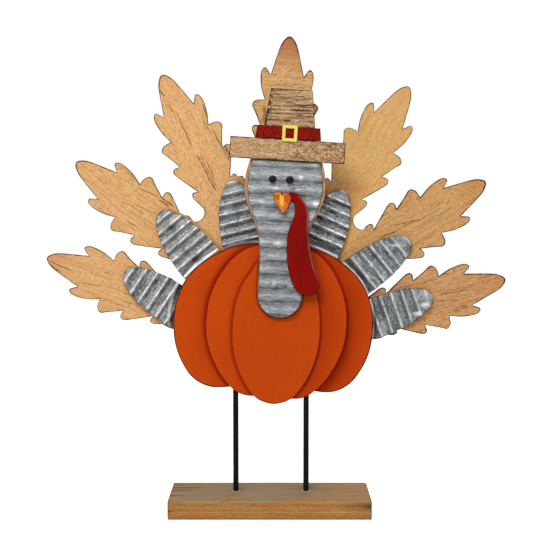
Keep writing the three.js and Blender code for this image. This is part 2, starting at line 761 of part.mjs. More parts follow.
// A sheet whose ridges run askew of its outline
function askew(outline, back, pitch, crest, angle) {
  const sheet = corrugated(placed(outline, 0, 0, -angle), back, pitch, crest);
  return sheet.rotateZ(-THREE.MathUtils.degToRad(angle));
}

function addMetalFeather(group, place) {
  const { name, reachShare, bearingAngle, turnAngle, rootShare, pitchShare, crestShare, skewAngle } = place;
  const reach = featherReach * reachShare;
  const bearing = THREE.MathUtils.degToRad(bearingAngle);
  const rootHalfWidth = featherRootHalfWidth * rootShare;
  const outline = featherOutline(rootHalfWidth, 0);
  const peek = new THREE.Vector2((peekSides[name] ?? 0) * backingPeek, 0);
  const backing = featherOutline(rootHalfWidth, backingInset).map((point) => point.add(peek));
  const pitch = featherPitch * pitchShare;
  const sheet = askew(outline, featherBack, pitch, -crestShare * pitch, skewAngle);
  const pieces = [
    addTo(group, `metal_feather_${name}`, sheet, galvanised),
    addTo(group, `feather_backing_${name}`, board(backing, backingBack, backingFront), rawWood),
  ];
  for (const piece of pieces) {
    piece.position.set(reach * Math.sin(bearing), reach * Math.cos(bearing), 0);
    piece.rotation.z = -THREE.MathUtils.degToRad(turnAngle);
  }
}

// Spacer, back plate and screws
const screwTip = spacerFront - screwEndClearance - gap;

function screwHole(kind, side) {
  const { x, y } = screwPlace(kind, side);
  const diameter = screwShankDiameter + screwHoleClearance;
  return pin(diameter, plateBack - overrun, screwTip + gap, x, y, screwFaces);
}

function makeScrew() {
  const headBackFace = plateBack - gap - screwHeadHeight;
  const headRadius = screwHeadDiameter / 2;
  const headRim = screwHeadHeight * screwRimShare;
  const profile = [
    new THREE.Vector2(0, headBackFace),
    new THREE.Vector2(headRadius * screwCrownShare, headBackFace),
    new THREE.Vector2(headRadius, headBackFace + headRim),
    new THREE.Vector2(headRadius, headBackFace + screwHeadHeight),
    new THREE.Vector2(screwShankDiameter / 2, headBackFace + screwHeadHeight),
    new THREE.Vector2(screwShankDiameter / 2, screwTip),
    new THREE.Vector2(0, screwTip),
  ];
  return new THREE.LatheGeometry(profile, screwFaces).rotateX(Math.PI / 2);
}

function addFanHolders(group) {
  const screws = [['middle', -1], ['middle', 1], ['lower', -1], ['lower', 1]];
  const holes = screws.map(([kind, side]) => screwHole(kind, side));
  const spacer = roundedRectangle(spacerWidth, spacerHeight, spacerTop, spacerCorner);
  const plate = roundedRectangle(plateWidth, plateHeight, plateTop, plateCorner);
  addTo(group, 'tail_spacer', cut(board(spacer, spacerBack, spacerFront), holes), rawWood);
  addTo(group, 'tail_back_plate', cut(board(plate, plateBack, plateFront), holes), rawWood);
  screws.forEach(([kind, side], i) => {
    const { x, y } = screwPlace(kind, side);
    addTo(group, `tail_screw_${i + 1}`, makeScrew(), screwMetal).position.set(x, y, 0);
  });
}

function addFan(group) {
  addLeaf(group, 'center', 0);
  for (const kind of ['upper', 'middle', 'lower']) {
    for (const side of [-1, 1]) addLeaf(group, kind, side);
  }
  featherPlaces.forEach((place) => addMetalFeather(group, place));
}

const model = new THREE.Group();
addStand(model);
addPumpkin(figure);
addHead(figure);
addHat(figure);
addFan(figure);
addFanHolders(figure);
model.add(figure);

export default model;
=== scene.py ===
from math import ceil, pi, radians

import bmesh
import bpy
import numpy as np
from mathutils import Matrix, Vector
from mathutils.geometry import delaunay_2d_cdt


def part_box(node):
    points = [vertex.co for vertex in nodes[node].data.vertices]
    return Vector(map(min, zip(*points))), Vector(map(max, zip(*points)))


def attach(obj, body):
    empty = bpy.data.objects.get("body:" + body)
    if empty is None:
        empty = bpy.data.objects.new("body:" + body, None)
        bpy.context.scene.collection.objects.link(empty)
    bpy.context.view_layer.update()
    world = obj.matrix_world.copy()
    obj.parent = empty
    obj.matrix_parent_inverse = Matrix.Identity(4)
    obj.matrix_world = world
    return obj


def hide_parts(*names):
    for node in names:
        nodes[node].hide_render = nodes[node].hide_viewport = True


# A standing turkey decoration of painted boards, leaf boards and corrugated sheet, on two rods and a block.
# Metres, Z up, the front faces -Y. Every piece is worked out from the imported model, node by node.
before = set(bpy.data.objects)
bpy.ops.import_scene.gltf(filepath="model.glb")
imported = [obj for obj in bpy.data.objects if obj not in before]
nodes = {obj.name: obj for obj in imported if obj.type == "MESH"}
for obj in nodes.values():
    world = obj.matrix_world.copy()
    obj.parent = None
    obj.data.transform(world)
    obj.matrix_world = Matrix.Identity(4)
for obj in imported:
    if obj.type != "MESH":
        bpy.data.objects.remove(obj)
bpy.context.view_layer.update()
mm = 0.001
leanTurn = 2.7  # degrees by which the figure leans to the right
print("frame loaded:", len(nodes), "nodes")


# Outlines, read from the nodes

def mergedNode(name):
    # Points and triangles of a node, once its loose triangles share their corners
    work = bmesh.new()
    work.from_mesh(nodes[name].data)
    bmesh.ops.remove_doubles(work, verts=work.verts, dist=0.002 * mm)
    bmesh.ops.triangulate(work, faces=work.faces)
    mesh = bpy.data.meshes.new("merged")
    work.to_mesh(mesh)
    work.free()
    points = np.empty(len(mesh.vertices) * 3)
    mesh.vertices.foreach_get("co", points)
    corners = np.empty(len(mesh.polygons) * 3, int)
    mesh.polygons.foreach_get("vertices", corners)
    bpy.data.meshes.remove(mesh)
    return points.reshape(-1, 3), corners.reshape(-1, 3)


def frontOutline(name, faceDepth):
    # The border of the triangles that face the front and lie within faceDepth of the frontmost point.
    # Gives the border's points as X and Z, its edges with the piece on their left, and the node's depths.
    points, triangles = mergedNode(name)
    corners = points[triangles]
    normals = np.cross(corners[:, 1] - corners[:, 0], corners[:, 2] - corners[:, 0])
    normals /= np.linalg.norm(normals, axis=1)[:, None] + 1e-20
    front, back = points[:, 1].min(), points[:, 1].max()
    facing = (normals[:, 1] < -0.2) & (corners[:, :, 1].max(1) < front + faceDepth)
    edges = np.concatenate([triangles[facing][:, pair] for pair in ([0, 1], [1, 2], [2, 0])])
    keys = edges[:, 0] * len(points) + edges[:, 1]
    opposite = edges[:, 1] * len(points) + edges[:, 0]
    border = edges[~np.isin(keys, opposite)]
    used, places = np.unique(border, return_inverse=True)
    return points[used][:, [0, 2]], places.reshape(-1, 2), front, back


def borderOf(name):
    # The border alone
    return frontOutline(name, 1 * mm)[:2]


def smoothed(flat, loop, spacing, sharpTurn=38):
    # Splits each edge into stretches of about spacing. Between corners the line is a cubic whose ends run
    # along the mean of the edges that meet there; at a turn of more than sharpTurn degrees they run straight.
    along = flat[loop[:, 1]] - flat[loop[:, 0]]
    length = np.linalg.norm(along, axis=1)
    heading = along / length[:, None]
    arriving, leaving = np.empty(len(flat), int), np.empty(len(flat), int)
    arriving[loop[:, 1]] = np.arange(len(loop))
    leaving[loop[:, 0]] = np.arange(len(loop))
    mean = heading[arriving] + heading[leaving]
    mean /= np.linalg.norm(mean, axis=1)[:, None] + 1e-9
    sharp = (heading[arriving] * heading[leaving]).sum(1) < np.cos(radians(sharpTurn))
    startHeading = np.where(sharp[loop[:, 0]][:, None], heading, mean[loop[:, 0]])
    endHeading = np.where(sharp[loop[:, 1]][:, None], heading, mean[loop[:, 1]])
    count = np.maximum(1, np.ceil(length / spacing)).astype(int)
    first = np.cumsum(count) - count
    edge = np.repeat(np.arange(len(loop)), count)
    t = ((np.arange(count.sum()) - first[edge]) / count[edge])[:, None]
    pull = length[edge][:, None]
    points = (
        flat[loop[edge, 0]] * (2 * t**3 - 3 * t**2 + 1)
        + startHeading[edge] * pull * (t**3 - 2 * t**2 + t)
        + flat[loop[edge, 1]] * (3 * t**2 - 2 * t**3)
        + endHeading[edge] * pull * (t**3 - t**2)
    )
    following = np.arange(len(points)) + 1
    following[first + count - 1] = first[leaving[loop[:, 1]]]
    return points, np.stack([np.arange(len(points)), following], 1)


def outwardOf(flat, loop):
    # At each point, the mean of its two edges' outward directions, long enough to keep an offset even
    along = flat[loop[:, 1]] - flat[loop[:, 0]]
    side = np.stack([along[:, 1], -along[:, 0]], 1) / np.linalg.norm(along, axis=1)[:, None]
    total = np.zeros_like(flat)
    np.add.at(total, loop[:, 0], side)
    np.add.at(total, loop[:, 1], side)
    size = np.linalg.norm(total, axis=1) + 1e-9
    return total / size[:, None] * np.minimum(2 / size, 1.5)[:, None]


def distanceTo(points, flat, loop):
    # Shortest distance from each point to any edge of the outline
    start, along = flat[loop[:, 0]], flat[loop[:, 1]] - flat[loop[:, 0]]
    apart = points[:, None, :] - start[None]
    share = np.clip((apart * along[None]).sum(2) / (along**2).sum(1)[None], 0, 1)
    return np.linalg.norm(apart - share[:, :, None] * along[None], axis=2).min(1)


def isInside(points, flat, loop):
    # A point is inside if a line from it to the right crosses the outline an odd number of times
    x, y = points[:, 0][:, None], points[:, 1][:, None]
    ax, ay = flat[loop[:, 0]].T
    bx, by = flat[loop[:, 1]].T
    spans = (ay[None] > y) != (by[None] > y)
    rise = np.where(by == ay, 1, by - ay)
    crossing = ax[None] + (y - ay[None]) / rise[None] * (bx - ax)[None]
    return (spans & (x < crossing)).sum(1) % 2 == 1


def axesAt(turn):
    # Directions across and along a piece whose own upright is turned clockwise by turn
    t = radians(turn)
    return np.array([np.cos(t), -np.sin(t)]), np.array([np.sin(t), np.cos(t)])


def gridInside(flat, loop, turn, stepAcross, stepAlong):
    # Staggered rows of points along the piece's own axes, kept where they are clear of the outline
    across, along = axesAt(turn)
    u, v = flat @ across, flat @ along
    columns = np.arange(u.min(), u.max(), stepAcross)
    rows = np.arange(v.min(), v.max(), stepAlong)
    gridU, gridV = np.meshgrid(columns, rows)
    gridU = gridU + stepAcross / 2 * (np.arange(len(rows)) % 2)[:, None]
    points = gridU.reshape(-1, 1) * across + gridV.reshape(-1, 1) * along
    points = points[isInside(points, flat, loop)]
    return points[distanceTo(points, flat, loop) > 0.45 * min(stepAcross, stepAlong)]


def roughness(u, v, cellU, cellV, seed):
    # Smooth random heights from -0.5 to 0.5: a lattice of random numbers, blended between its points
    size = 101
    lattice = np.random.default_rng(seed).random((size, size)) - 0.5
    x, y = u / cellU, v / cellV
    column, row = np.floor(x).astype(int), np.floor(y).astype(int)
    s, t = x - column, y - row
    s, t = s * s * (3 - 2 * s), t * t * (3 - 2 * t)
    here, beside = column % size, (column + 1) % size
    level, above = row % size, (row + 1) % size
    low = lattice[here, level] * (1 - s) + lattice[beside, level] * s
    high = lattice[here, above] * (1 - s) + lattice[beside, above] * s
    return low * (1 - t) + high * t


def eased(value, low, high):
    # 0 below low and 1 above high, with a smooth rise between
    t = np.clip((value - low) / (high - low), 0, 1)
    return t * t * (3 - 2 * t)


def spots(points, listed):
    # Ragged spots, each with its middle's X and Z, its half width and half height, and its strength
    total = np.zeros(len(points))
    x, z = points[:, 0] / mm, points[:, 2] / mm
    for spotX, spotZ, wide, high, strength in listed:
        apart = ((x - spotX) / wide) ** 2 + ((z - spotZ) / high) ** 2
        ragged = 1 + 1.4 * roughness(x, z, 1.8, 1.3, 44)
        total = np.maximum(total, strength * np.exp(-(apart * ragged)))
    return total


# Solids

shortestEdge = 0.01 * mm


def closeGaps(mesh):
    # Takes out edges too short to see, and fills the small gaps that a face's net leaves where its rim
    # turns back into itself
    work = bmesh.new()
    work.from_mesh(mesh)
    tiny = [edge for edge in work.edges if edge.calc_length() < shortestEdge]
    if tiny:
        bmesh.ops.collapse(work, edges=tiny, uvs=False)
    gaps = [edge for edge in work.edges if len(edge.link_faces) == 1]
    if gaps:
        filled = bmesh.ops.holes_fill(work, edges=gaps, sides=0)["faces"]
        bmesh.ops.triangulate(work, faces=filled)
    if tiny or gaps:
        print("closed", mesh.name, len(tiny), "tiny edges,", len(gaps), "open edges")
        bmesh.ops.recalc_face_normals(work, faces=work.faces)
        work.to_mesh(mesh)
    work.free()


def addPiece(name, points, faces, material, body, attributes, sharpTurn=50):
    mesh = bpy.data.meshes.new(name)
    mesh.from_pydata(points.tolist(), [], faces)
    for key, values in attributes.items():
        kind, field = ("FLOAT_VECTOR", "vector") if values.ndim == 2 else ("FLOAT", "value")
        mesh.attributes.new(key, kind, "POINT").data.foreach_set(field, values.astype(np.float32).ravel())
    closeGaps(mesh)
    mesh.shade_smooth()
    mesh.set_sharp_from_angle(angle=radians(sharpTurn))
    mesh.materials.append(material)
    piece = bpy.data.objects.new(name, mesh)
    bpy.context.scene.collection.objects.link(piece)
    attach(piece, body)
    return piece


def solidBetween(outline, frontAt, backAt, inner, rounding, wallRim=0, roundSteps=3):
    # A closed solid between two heights over an outline. Each face is a net of triangles through the
    # points of inner; the wall is a profile carried round the outline, a quarter circle at each face.
    # Also gives each point's distance from the rim, which is wallRim on the wall.
    flat, loop = outline
    outward = outwardOf(flat, loop)
    angles = np.linspace(0, pi / 2, roundSteps + 1)
    insets, drops = rounding * (1 - np.sin(angles)), rounding * (1 - np.cos(angles))
    rings = [flat - outward * inset for inset in insets]
    face = np.vstack([rings[0], inner])
    corners = [Vector(point) for point in face / mm]
    net = delaunay_2d_cdt(corners, loop.tolist(), [], 2, 1e-5)
    # A point that the net adds where the rim crosses itself has no source, and its triangles are left out
    sources = np.array([source[0] if source else -1 for source in net[3]])
    triangles = sources[np.array(net[2])]
    triangles = triangles[(triangles >= 0).all(1)]
    triangles = triangles[isInside(face[triangles].mean(1), rings[0], loop)]
    fronts = [np.c_[ring, frontAt(ring) + drop] for ring, drop in zip(rings, drops)]
    backs = [np.c_[ring, backAt(ring) - drop] for ring, drop in zip(rings, drops)]
    frontFace = np.c_[face, frontAt(face)]
    backFace = np.c_[face, backAt(face)]
    stacked = [frontFace, *fronts[1:], *backs[:0:-1], backFace]
    starts = np.cumsum([0] + [len(part) for part in stacked])[:-1]
    a, b = loop.T
    levels = zip(starts[:-1], starts[1:])
    quads = [np.stack([b + upper, a + upper, a + lower, b + lower], 1) for upper, lower in levels]
    faces = triangles.tolist() + (triangles[:, ::-1] + starts[-1]).tolist() + np.vstack(quads).tolist()
    points = np.vstack(stacked)[:, [0, 2, 1]]
    rim = np.zeros(len(points))
    depth = distanceTo(face, flat, loop)
    rim[:len(face)], rim[starts[-1]:] = depth, depth
    rim[starts[roundSteps]:starts[roundSteps + 2]] = wallRim
    return points, faces, rim


def placeOf(points, turn, middle=(0, 0)):
    # The piece's own across, depth and along
    across, along = axesAt(turn)
    flat = points[:, [0, 2]] - middle
    return np.stack([flat @ across, points[:, 1], flat @ along], 1)


def grainOf(points, turn, seed):
    # The same, shifted so that no two pieces share their figure
    return placeOf(points, turn) + np.random.default_rng(seed).random(3) * 4


def plainDress(points, seed, mark=0):
    # What a small piece's material reads
    count = len(points)
    return {"grain": grainOf(points, 0, seed), "rim": np.full(count, 5 * mm), "mark": np.full(count, mark)}


def dressNode(node, name, points, faces, material, attributes, sharpTurn=50):
    # The finished piece stays in the node's own box and stands for the node
    low, high = (np.array(corner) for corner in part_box(node))
    piece = addPiece(name, np.clip(points, low, high), faces, material, "root", attributes, sharpTurn)
    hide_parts(node)
    return piece


def dressBoard(node, material, settings, relief=None, mark=None, seam=None, extras=None):
    # A board with rounded edges. relief is how deep its front is carved at each point, mark is a value from
    # 0 to 1 that its material reads, seam is what its rim gains, and extras are further values by name.
    flat, loop, front, back = frontOutline(node, settings.get("faceDepth", 1) * mm)
    outline = smoothed(flat, loop, settings["edgeStep"] * mm, settings.get("sharpTurn", 38))
    if "reachOut" in settings:
        grown = outline[0] + outwardOf(*outline) * settings["reachOut"](outline[0])[:, None]
        outline = grown, outline[1]
    turn = settings.get("turn", 0)
    inner = gridInside(*outline, turn, settings["stepAcross"] * mm, settings["stepAlong"] * mm)
    across, along = axesAt(turn)
    middle = (outline[0].min(0) + outline[0].max(0)) / 2

    def carved(flatPoints):
        local = flatPoints - middle
        return relief(local @ across, local @ along) if relief else np.zeros(len(local))

    points, faces, rim = solidBetween(
        outline, lambda flatPoints: front + carved(flatPoints),
        lambda flatPoints: np.full(len(flatPoints), back), inner,
        settings["rounding"] * mm, settings.get("wallRim", 3) * mm,
    )
    place = placeOf(points, turn, middle)
    attributes = {
        "grain": grainOf(points, settings.get("grainTurn", turn), settings["seed"]), "place": place,
        "rim": rim + seam(points) if seam else rim, "mark": np.zeros(len(points)),
    }
    for key, values in {**({"mark": mark} if mark else {}), **(extras or {})}.items():
        attributes[key] = values(place[:, 0], place[:, 2], points)
    return dressNode(node, settings["name"], points, faces, material, attributes)


# Materials, as nodes on the piece's own grain, place, rim, mark and other values

def tone(code):
    # A colour written as it looks, for the renderer's linear light
    levels = np.array([int(code[i : i + 2], 16) for i in (0, 2, 4)]) / 255
    linear = np.where(levels <= 0.04045, levels / 12.92, ((levels + 0.055) / 1.055) ** 2.4)
    return (*linear.tolist(), 1)


def put(tree, kind, values, **settings):
    made = tree.nodes.new(kind)
    for key, value in settings.items():
        setattr(made, key, value)
    for key, value in values.items():
        if isinstance(value, bpy.types.NodeSocket):
            tree.links.new(value, made.inputs[key])
        else:
            made.inputs[key].default_value = value
    return made


def emptyTree(owner):
    owner.use_nodes = True
    owner.node_tree.nodes.clear()
    return owner.node_tree


def newMaterial(name):
    material = bpy.data.materials.new(name)
    tree = emptyTree(material)
    shader = put(tree, "ShaderNodeBsdfPrincipled", {})
    put(tree, "ShaderNodeOutputMaterial", {0: shader.outputs[0]})
    return material, tree, shader


def valueOf(tree, name):
    made = put(tree, "ShaderNodeAttribute", {}, attribute_type="GEOMETRY", attribute_name=name)
    return made.outputs["Vector" if name in ("grain", "place") else "Fac"]


def spread(tree, vector, scale):
    return put(tree, "ShaderNodeVectorMath", {0: vector, 1: scale}, operation="MULTIPLY").outputs[0]


def cloud(tree, vector, scale, detail=2.0, coarse=0.5, bend=0.0):
    values = {"Vector": spread(tree, vector, scale), "Scale": 1.0, "Detail": detail}
    return put(tree, "ShaderNodeTexNoise", {**values, "Roughness": coarse, "Distortion": bend}).outputs["Fac"]


def within(tree, value, low, high, start=0.0, end=1.0):
    values = {"Value": value, "From Min": low, "From Max": high, "To Min": start, "To Max": end}
    return put(tree, "ShaderNodeMapRange", values, interpolation_type="SMOOTHSTEP").outputs[0]


def figure(tree, operation, first, second=0.0):
    return put(tree, "ShaderNodeMath", {0: first, 1: second}, operation=operation).outputs[0]


def blend(tree, amount, first, second, kind="MIX"):
    values = {0: amount, 6: first, 7: second}
    return put(tree, "ShaderNodeMix", values, data_type="RGBA", blend_type=kind).outputs[2]


def thinLines(tree, vector, scale, width, detail=2.0, bend=0.0):
    # Thin lines where a stretched cloud passes through its middle value
    height = cloud(tree, vector, scale, detail, 0.5, bend)
    away = figure(tree, "ABSOLUTE", figure(tree, "SUBTRACT", height, 0.5))
    return within(tree, away, 0.0, width, 1.0, 0.0)


def finish(tree, shader, color, rough, height, depth):
    tree.links.new(color, shader.inputs["Base Color"])
    tree.links.new(rough, shader.inputs["Roughness"])
    bump = put(tree, "ShaderNodeBump", {"Strength": 1.0, "Distance": depth, "Height": height})
    tree.links.new(bump.outputs[0], shader.inputs["Normal"])


def dotted(tree, vector, direction):
    values = {0: vector, 1: direction}
    return put(tree, "ShaderNodeVectorMath", values, operation="DOT_PRODUCT").outputs["Value"]


def times(tree, first, second):
    return figure(tree, "MULTIPLY", first, second)


def layered(tree, color, layers):
    # Tints laid over the rest, each as strong as the piece's own attribute of that name says
    for name, code in layers:
        color = blend(tree, valueOf(tree, name), color, tone(code))
    return color


def coated(tree, color, tones, coats):
    # Coats laid over one another, each as the name of its tone and how strong it is
    for key, strength in coats:
        color = blend(tree, strength, color, tone(tones[key]))
    return color


def burntRim(tree, grain, color, burn, narrow, wide):
    # Darkens the rim, more or less wide as a cloud says
    width = within(tree, cloud(tree, grain, (160, 160, 160), 3.0), 0.3, 0.7, narrow * mm, wide * mm)
    share = figure(tree, "DIVIDE", valueOf(tree, "rim"), width)
    return blend(tree, within(tree, share, 0.4, 1.0, 1.0, 0.0), color, burn)


def crackLine(tree, place, wobble, crack):
    # A dark line between two points of the piece's own across and along, in mm, with faded ends
    start, end, width = np.array(crack[:2]) * mm, np.array(crack[2:4]) * mm, crack[4] * mm
    length = np.linalg.norm(end - start)
    run, side = (end - start) / length, np.array([start[1] - end[1], end[0] - start[0]]) / length
    along = figure(tree, "SUBTRACT", dotted(tree, place, (run[0], 0, run[1])), start @ run + length / 2)
    off = figure(tree, "SUBTRACT", dotted(tree, place, (side[0], 0, side[1])), start @ side)
    off = figure(tree, "ABSOLUTE", figure(tree, "ADD", off, wobble))
    along = figure(tree, "ABSOLUTE", along)
    ends = within(tree, along, 0.35 * length + 0.2 * width, 0.5 * length + width, 1.0, 0.0)
    return times(tree, within(tree, off, 0.35 * width, 0.9 * width, 1.0, 0.0), ends)


def drawnCracks(tree, wood, grain):
    # The piece's own cracks and knots, broken up a little
    place = valueOf(tree, "place")
    wobble = figure(tree, "SUBTRACT", cloud(tree, place, (40, 40, 95), 3.0), 0.5)
    wobble = times(tree, wobble, 2.4 * mm)
    total = None
    for crack in wood["drawn"]:
        line = times(tree, crackLine(tree, place, wobble, crack), crack[5])
        total = line if total is None else figure(tree, "MAXIMUM", total, line)
    return times(tree, total, within(tree, cloud(tree, grain, (1300, 500, 260), 3.0), 0.34, 0.5, 0.2, 1.0))


def woodMaterial(name, wood):
    # Fibres, broad tone, cracks, strokes and dashes along the grain, burnt rims, and a tint where the mark is
    material, tree, shader = newMaterial(name)
    grain = valueOf(tree, "grain")
    fibres = cloud(tree, grain, (620, 300, 42), 5.0, 0.65)
    fine = cloud(tree, grain, (1400, 900, 420), 4.0, 0.65, 0.3)
    broad = cloud(tree, grain, (46, 46, 13), 2.0)
    blush = cloud(tree, grain, (150, 150, 60), 3.0, 0.55, 0.4)
    hairs = cloud(tree, grain, (760, 300, 15), 3.0, 0.55, 0.15)
    hairs = within(tree, hairs, 0.53, 0.64, 0.0, wood["hairs"])
    broken = within(tree, cloud(tree, grain, (420, 200, 60), 2.0), 0.4, 0.55)
    lines = thinLines(tree, grain, (210, 60, wood["crackRun"]), 0.011, 3.0, 0.2)
    patches = within(tree, cloud(tree, grain, (70, 70, 16), 2.0), 0.5, 0.6)
    cracks = times(tree, times(tree, lines, patches), wood["cracks"])
    if wood["drawn"]:
        cracks = figure(tree, "MAXIMUM", cracks, drawnCracks(tree, wood, grain))
    dashes = cloud(tree, grain, wood["dashCells"], 3.0, 0.6)
    mark = valueOf(tree, "mark")
    if wood["grit"]:
        grit = cloud(tree, grain, (1500, 900, 950), 2.0, 0.6)
        mark = times(tree, mark, within(tree, grit, 0.4, 0.56, 1.0 - wood["grit"], 1.0))
    color = blend(tree, within(tree, fibres, 0.32, 0.68), tone(wood["light"]), tone(wood["dark"]))
    color = coated(tree, color, wood, (
        ("warm", within(tree, broad, 0.42, 0.7, 0.0, wood["warmth"])),
        ("red", within(tree, blush, 0.5, 0.72, 0.0, wood["blush"])),
        ("shade", within(tree, fine, 0.5, 0.64, 0.0, wood["fibre"])),
        ("pale", within(tree, fine, 0.46, 0.34, 0.0, wood["gleam"])),
        ("hair", times(tree, hairs, broken)),
        ("crack", cracks),
        ("crack", within(tree, dashes, wood["dashFrom"], wood["dashFrom"] + 0.06, 0.0, wood["dashes"])),
        # The tint is painted shade where a piece's mark lays it there, as at the leaves' feet
        ("tint", mark),
    ))
    color = burntRim(tree, grain, color, tone(wood["burn"]), *wood["rim"])
    color = layered(tree, color, wood["layers"])
    rough = within(tree, fibres, 0.3, 0.7, wood["rough"], wood["rough"] + 0.14)
    height = figure(tree, "ADD", times(tree, fibres, 0.4), times(tree, fine, 0.25))
    height = figure(tree, "SUBTRACT", height, times(tree, cracks, 0.8))
    finish(tree, shader, color, rough, height, wood["relief"] * mm)
    shader.inputs["Specular IOR Level"].default_value = wood["gloss"]
    return material


leafWood = {
    "light": "dfb17a", "dark": "d3a069", "warm": "dca66c", "warmth": 0.5, "red": "d99a62", "blush": 0.4,
    "shade": "a06c38", "fibre": 0.6, "pale": "edc797", "gleam": 0.4, "hair": "8f6134", "hairs": 0.22,
    "crack": "4d2e17", "cracks": 0.6, "crackRun": 7, "dashes": 0.4, "dashFrom": 0.62,
    "dashCells": (1300, 600, 230), "drawn": (), "tint": "b5713c", "burn": "5b4029", "rim": (0.7, 1.4),
    "rough": 0.62, "relief": 0.25, "gloss": 0.1, "grit": 0, "layers": (), "tipBurn": 0.8, "patches": (),
}
bareWood = {
    **leafWood, "light": "d3a873", "dark": "bd8f5d", "warm": "c79a64", "red": "c08a55", "pale": "e0bb8a",
    "tint": "8a6238", "burn": "a07a4c", "rim": (0.3, 0.8), "cracks": 0.4, "hairs": 0.4,
}
headWood = {
    **bareWood, "light": "c4996f", "dark": "ab7f56", "warm": "b98a5f", "pale": "d2ae88", "burn": "4f3822",
    "rim": (0.35, 0.8),
}
brimWood = {
    **leafWood, "light": "cba57b", "dark": "b18a61", "warm": "c39565", "red": "c28963", "blush": 0.35,
    "shade": "7f5f45", "fibre": 0.7, "pale": "f0d4b2", "gleam": 0.8, "hairs": 0.4, "crack": "241a13",
    "dashes": 0.7, "dashFrom": 0.57, "dashCells": (1500, 700, 1000), "cracks": 0.3, "tint": "1f1915",
    "burn": "2f241c", "rim": (0.5, 1.3), "rough": 0.72, "relief": 0.5, "grit": 0.85,
}
crownWood = {
    **brimWood, "light": "d4ad80", "dark": "a27e55", "warm": "ba9065", "pale": "e6d0b0", "fibre": 0.9,
    "red": "b98264", "dashes": 0.6, "dashFrom": 0.6, "dashCells": (1500, 500, 260), "hairs": 1,
    "hair": "3c2c20", "tint": "0e0a08", "rim": (0.4, 1.1), "grit": 0.2,
}
blockWood = {
    **leafWood, "light": "b0824a", "dark": "9a6b38", "warm": "ab7040", "warmth": 0.85, "red": "a8643a",
    "blush": 0.6, "shade": "7a5530", "fibre": 0.45, "pale": "c49a5e", "hair": "6b4726", "crack": "3a281a",
    "cracks": 0.5, "dashes": 0.25, "tint": "827960", "burn": "6f4c2c", "rim": (0.2, 0.5), "rough": 0.6,
    "relief": 0.3, "layers": (("goldAndHighlight", "cf9f52"), ("stain", "2f2117")),
}


def sheetMaterial(name, sheet):
    # Galvanised sheet: grey mottle, drawn-out streaks along the ridges, a painted highlight above each crest,
    # a painted shade line below it, painted shade in the troughs, whitish smears, pits and scratches
    material, tree, shader = newMaterial(name)
    grain, crest = valueOf(tree, "grain"), valueOf(tree, "mark")
    mottle = cloud(tree, grain, sheet["mottleCells"], 5.0, 0.7, 0.4)
    grit = cloud(tree, grain, (1150, 1150, 1350), 2.0, 0.6)
    blotch = cloud(tree, grain, (80, 80, 120), 4.0, 0.62, 0.5)
    streaks = cloud(tree, grain, sheet["streakCells"], 5.0, 0.65)
    wander = figure(tree, "SUBTRACT", cloud(tree, grain, (240, 240, 300), 3.0), 0.5)
    wander = times(tree, wander, sheet["wander"])
    level = figure(tree, "ADD", times(tree, mottle, sheet["mottle"]), times(tree, streaks, sheet["streaks"]))
    level = figure(tree, "ADD", level, times(tree, blotch, sheet["blotch"]))
    total = sheet["mottle"] + sheet["streaks"] + sheet["blotch"]
    smears = within(tree, blotch, 0.54, 0.66, 0.0, sheet["smears"])
    # Painted shade in the troughs, mottled
    grime = within(tree, crest, 0.2, -0.9, 0.0, sheet["grime"])
    # Painted shade: a dark line on the slope just below each crest
    below = figure(tree, "ADD", valueOf(tree, "below"), wander)
    belowGaps = within(tree, cloud(tree, grain, (110, 110, 420), 4.0, 0.65), 0.4, 0.56, 0.35, 1.0)
    # Painted highlight: a bright line just above each crest, as strong as the piece's value says
    above = figure(tree, "ADD", valueOf(tree, "above"), wander)
    aboveGaps = within(tree, cloud(tree, grain, (170, 170, 520), 4.0, 0.7), 0.4, 0.56, 0.12, 1.0)
    worn = times(tree, within(tree, above, sheet["lineFrom"], 0.98), valueOf(tree, "glintStrength"))
    pits = cloud(tree, grain, (560, 560, 700), 3.0, 0.6)
    flecks = cloud(tree, grain, (500, 500, 800), 3.0, 0.6, 0.6)
    level = within(tree, level, 0.4 * total, 0.6 * total)
    color = blend(tree, level, tone(sheet["dark"]), tone(sheet["light"]))
    color = coated(tree, color, sheet, (
        ("pale", times(tree, smears, within(tree, streaks, 0.4, 0.56))),
        ("dark", within(tree, grit, 0.46, 0.64, 0.0, sheet["grit"])),
        ("pale", within(tree, grit, 0.5, 0.34, 0.0, sheet["grit"])),
        ("dirtAndShade", times(tree, grime, within(tree, mottle, 0.6, 0.42))),
        ("dirtAndShade", times(tree, within(tree, below, sheet["darkFrom"], 0.97, 0.0, sheet["below"]), belowGaps)),
        ("bright", times(tree, worn, aboveGaps)),
        ("dirtAndShade", within(tree, pits, 0.6, 0.68, 0.0, sheet["pits"])),
        ("bright", within(tree, flecks, 0.63, 0.7, 0.0, sheet["flecks"])),
    ))
    # Bright spots with the bands of painted highlight, smudges with the bands of painted shadow beside the
    # pumpkin
    color = layered(tree, color, (("spot", sheet["spotColor"]), ("smudgeAndShadow", sheet["dirtAndShade"])))
    color = burntRim(tree, grain, color, tone(sheet["dirtAndShade"]), *sheet["rim"])
    rough = within(tree, mottle, 0.3, 0.7, sheet["rough"], sheet["rough"] + 0.22)
    finish(tree, shader, color, rough, mottle, sheet["relief"] * mm)
    shader.inputs["Metallic"].default_value = sheet["metal"]
    shader.inputs["Specular IOR Level"].default_value = sheet["gloss"]
    return material


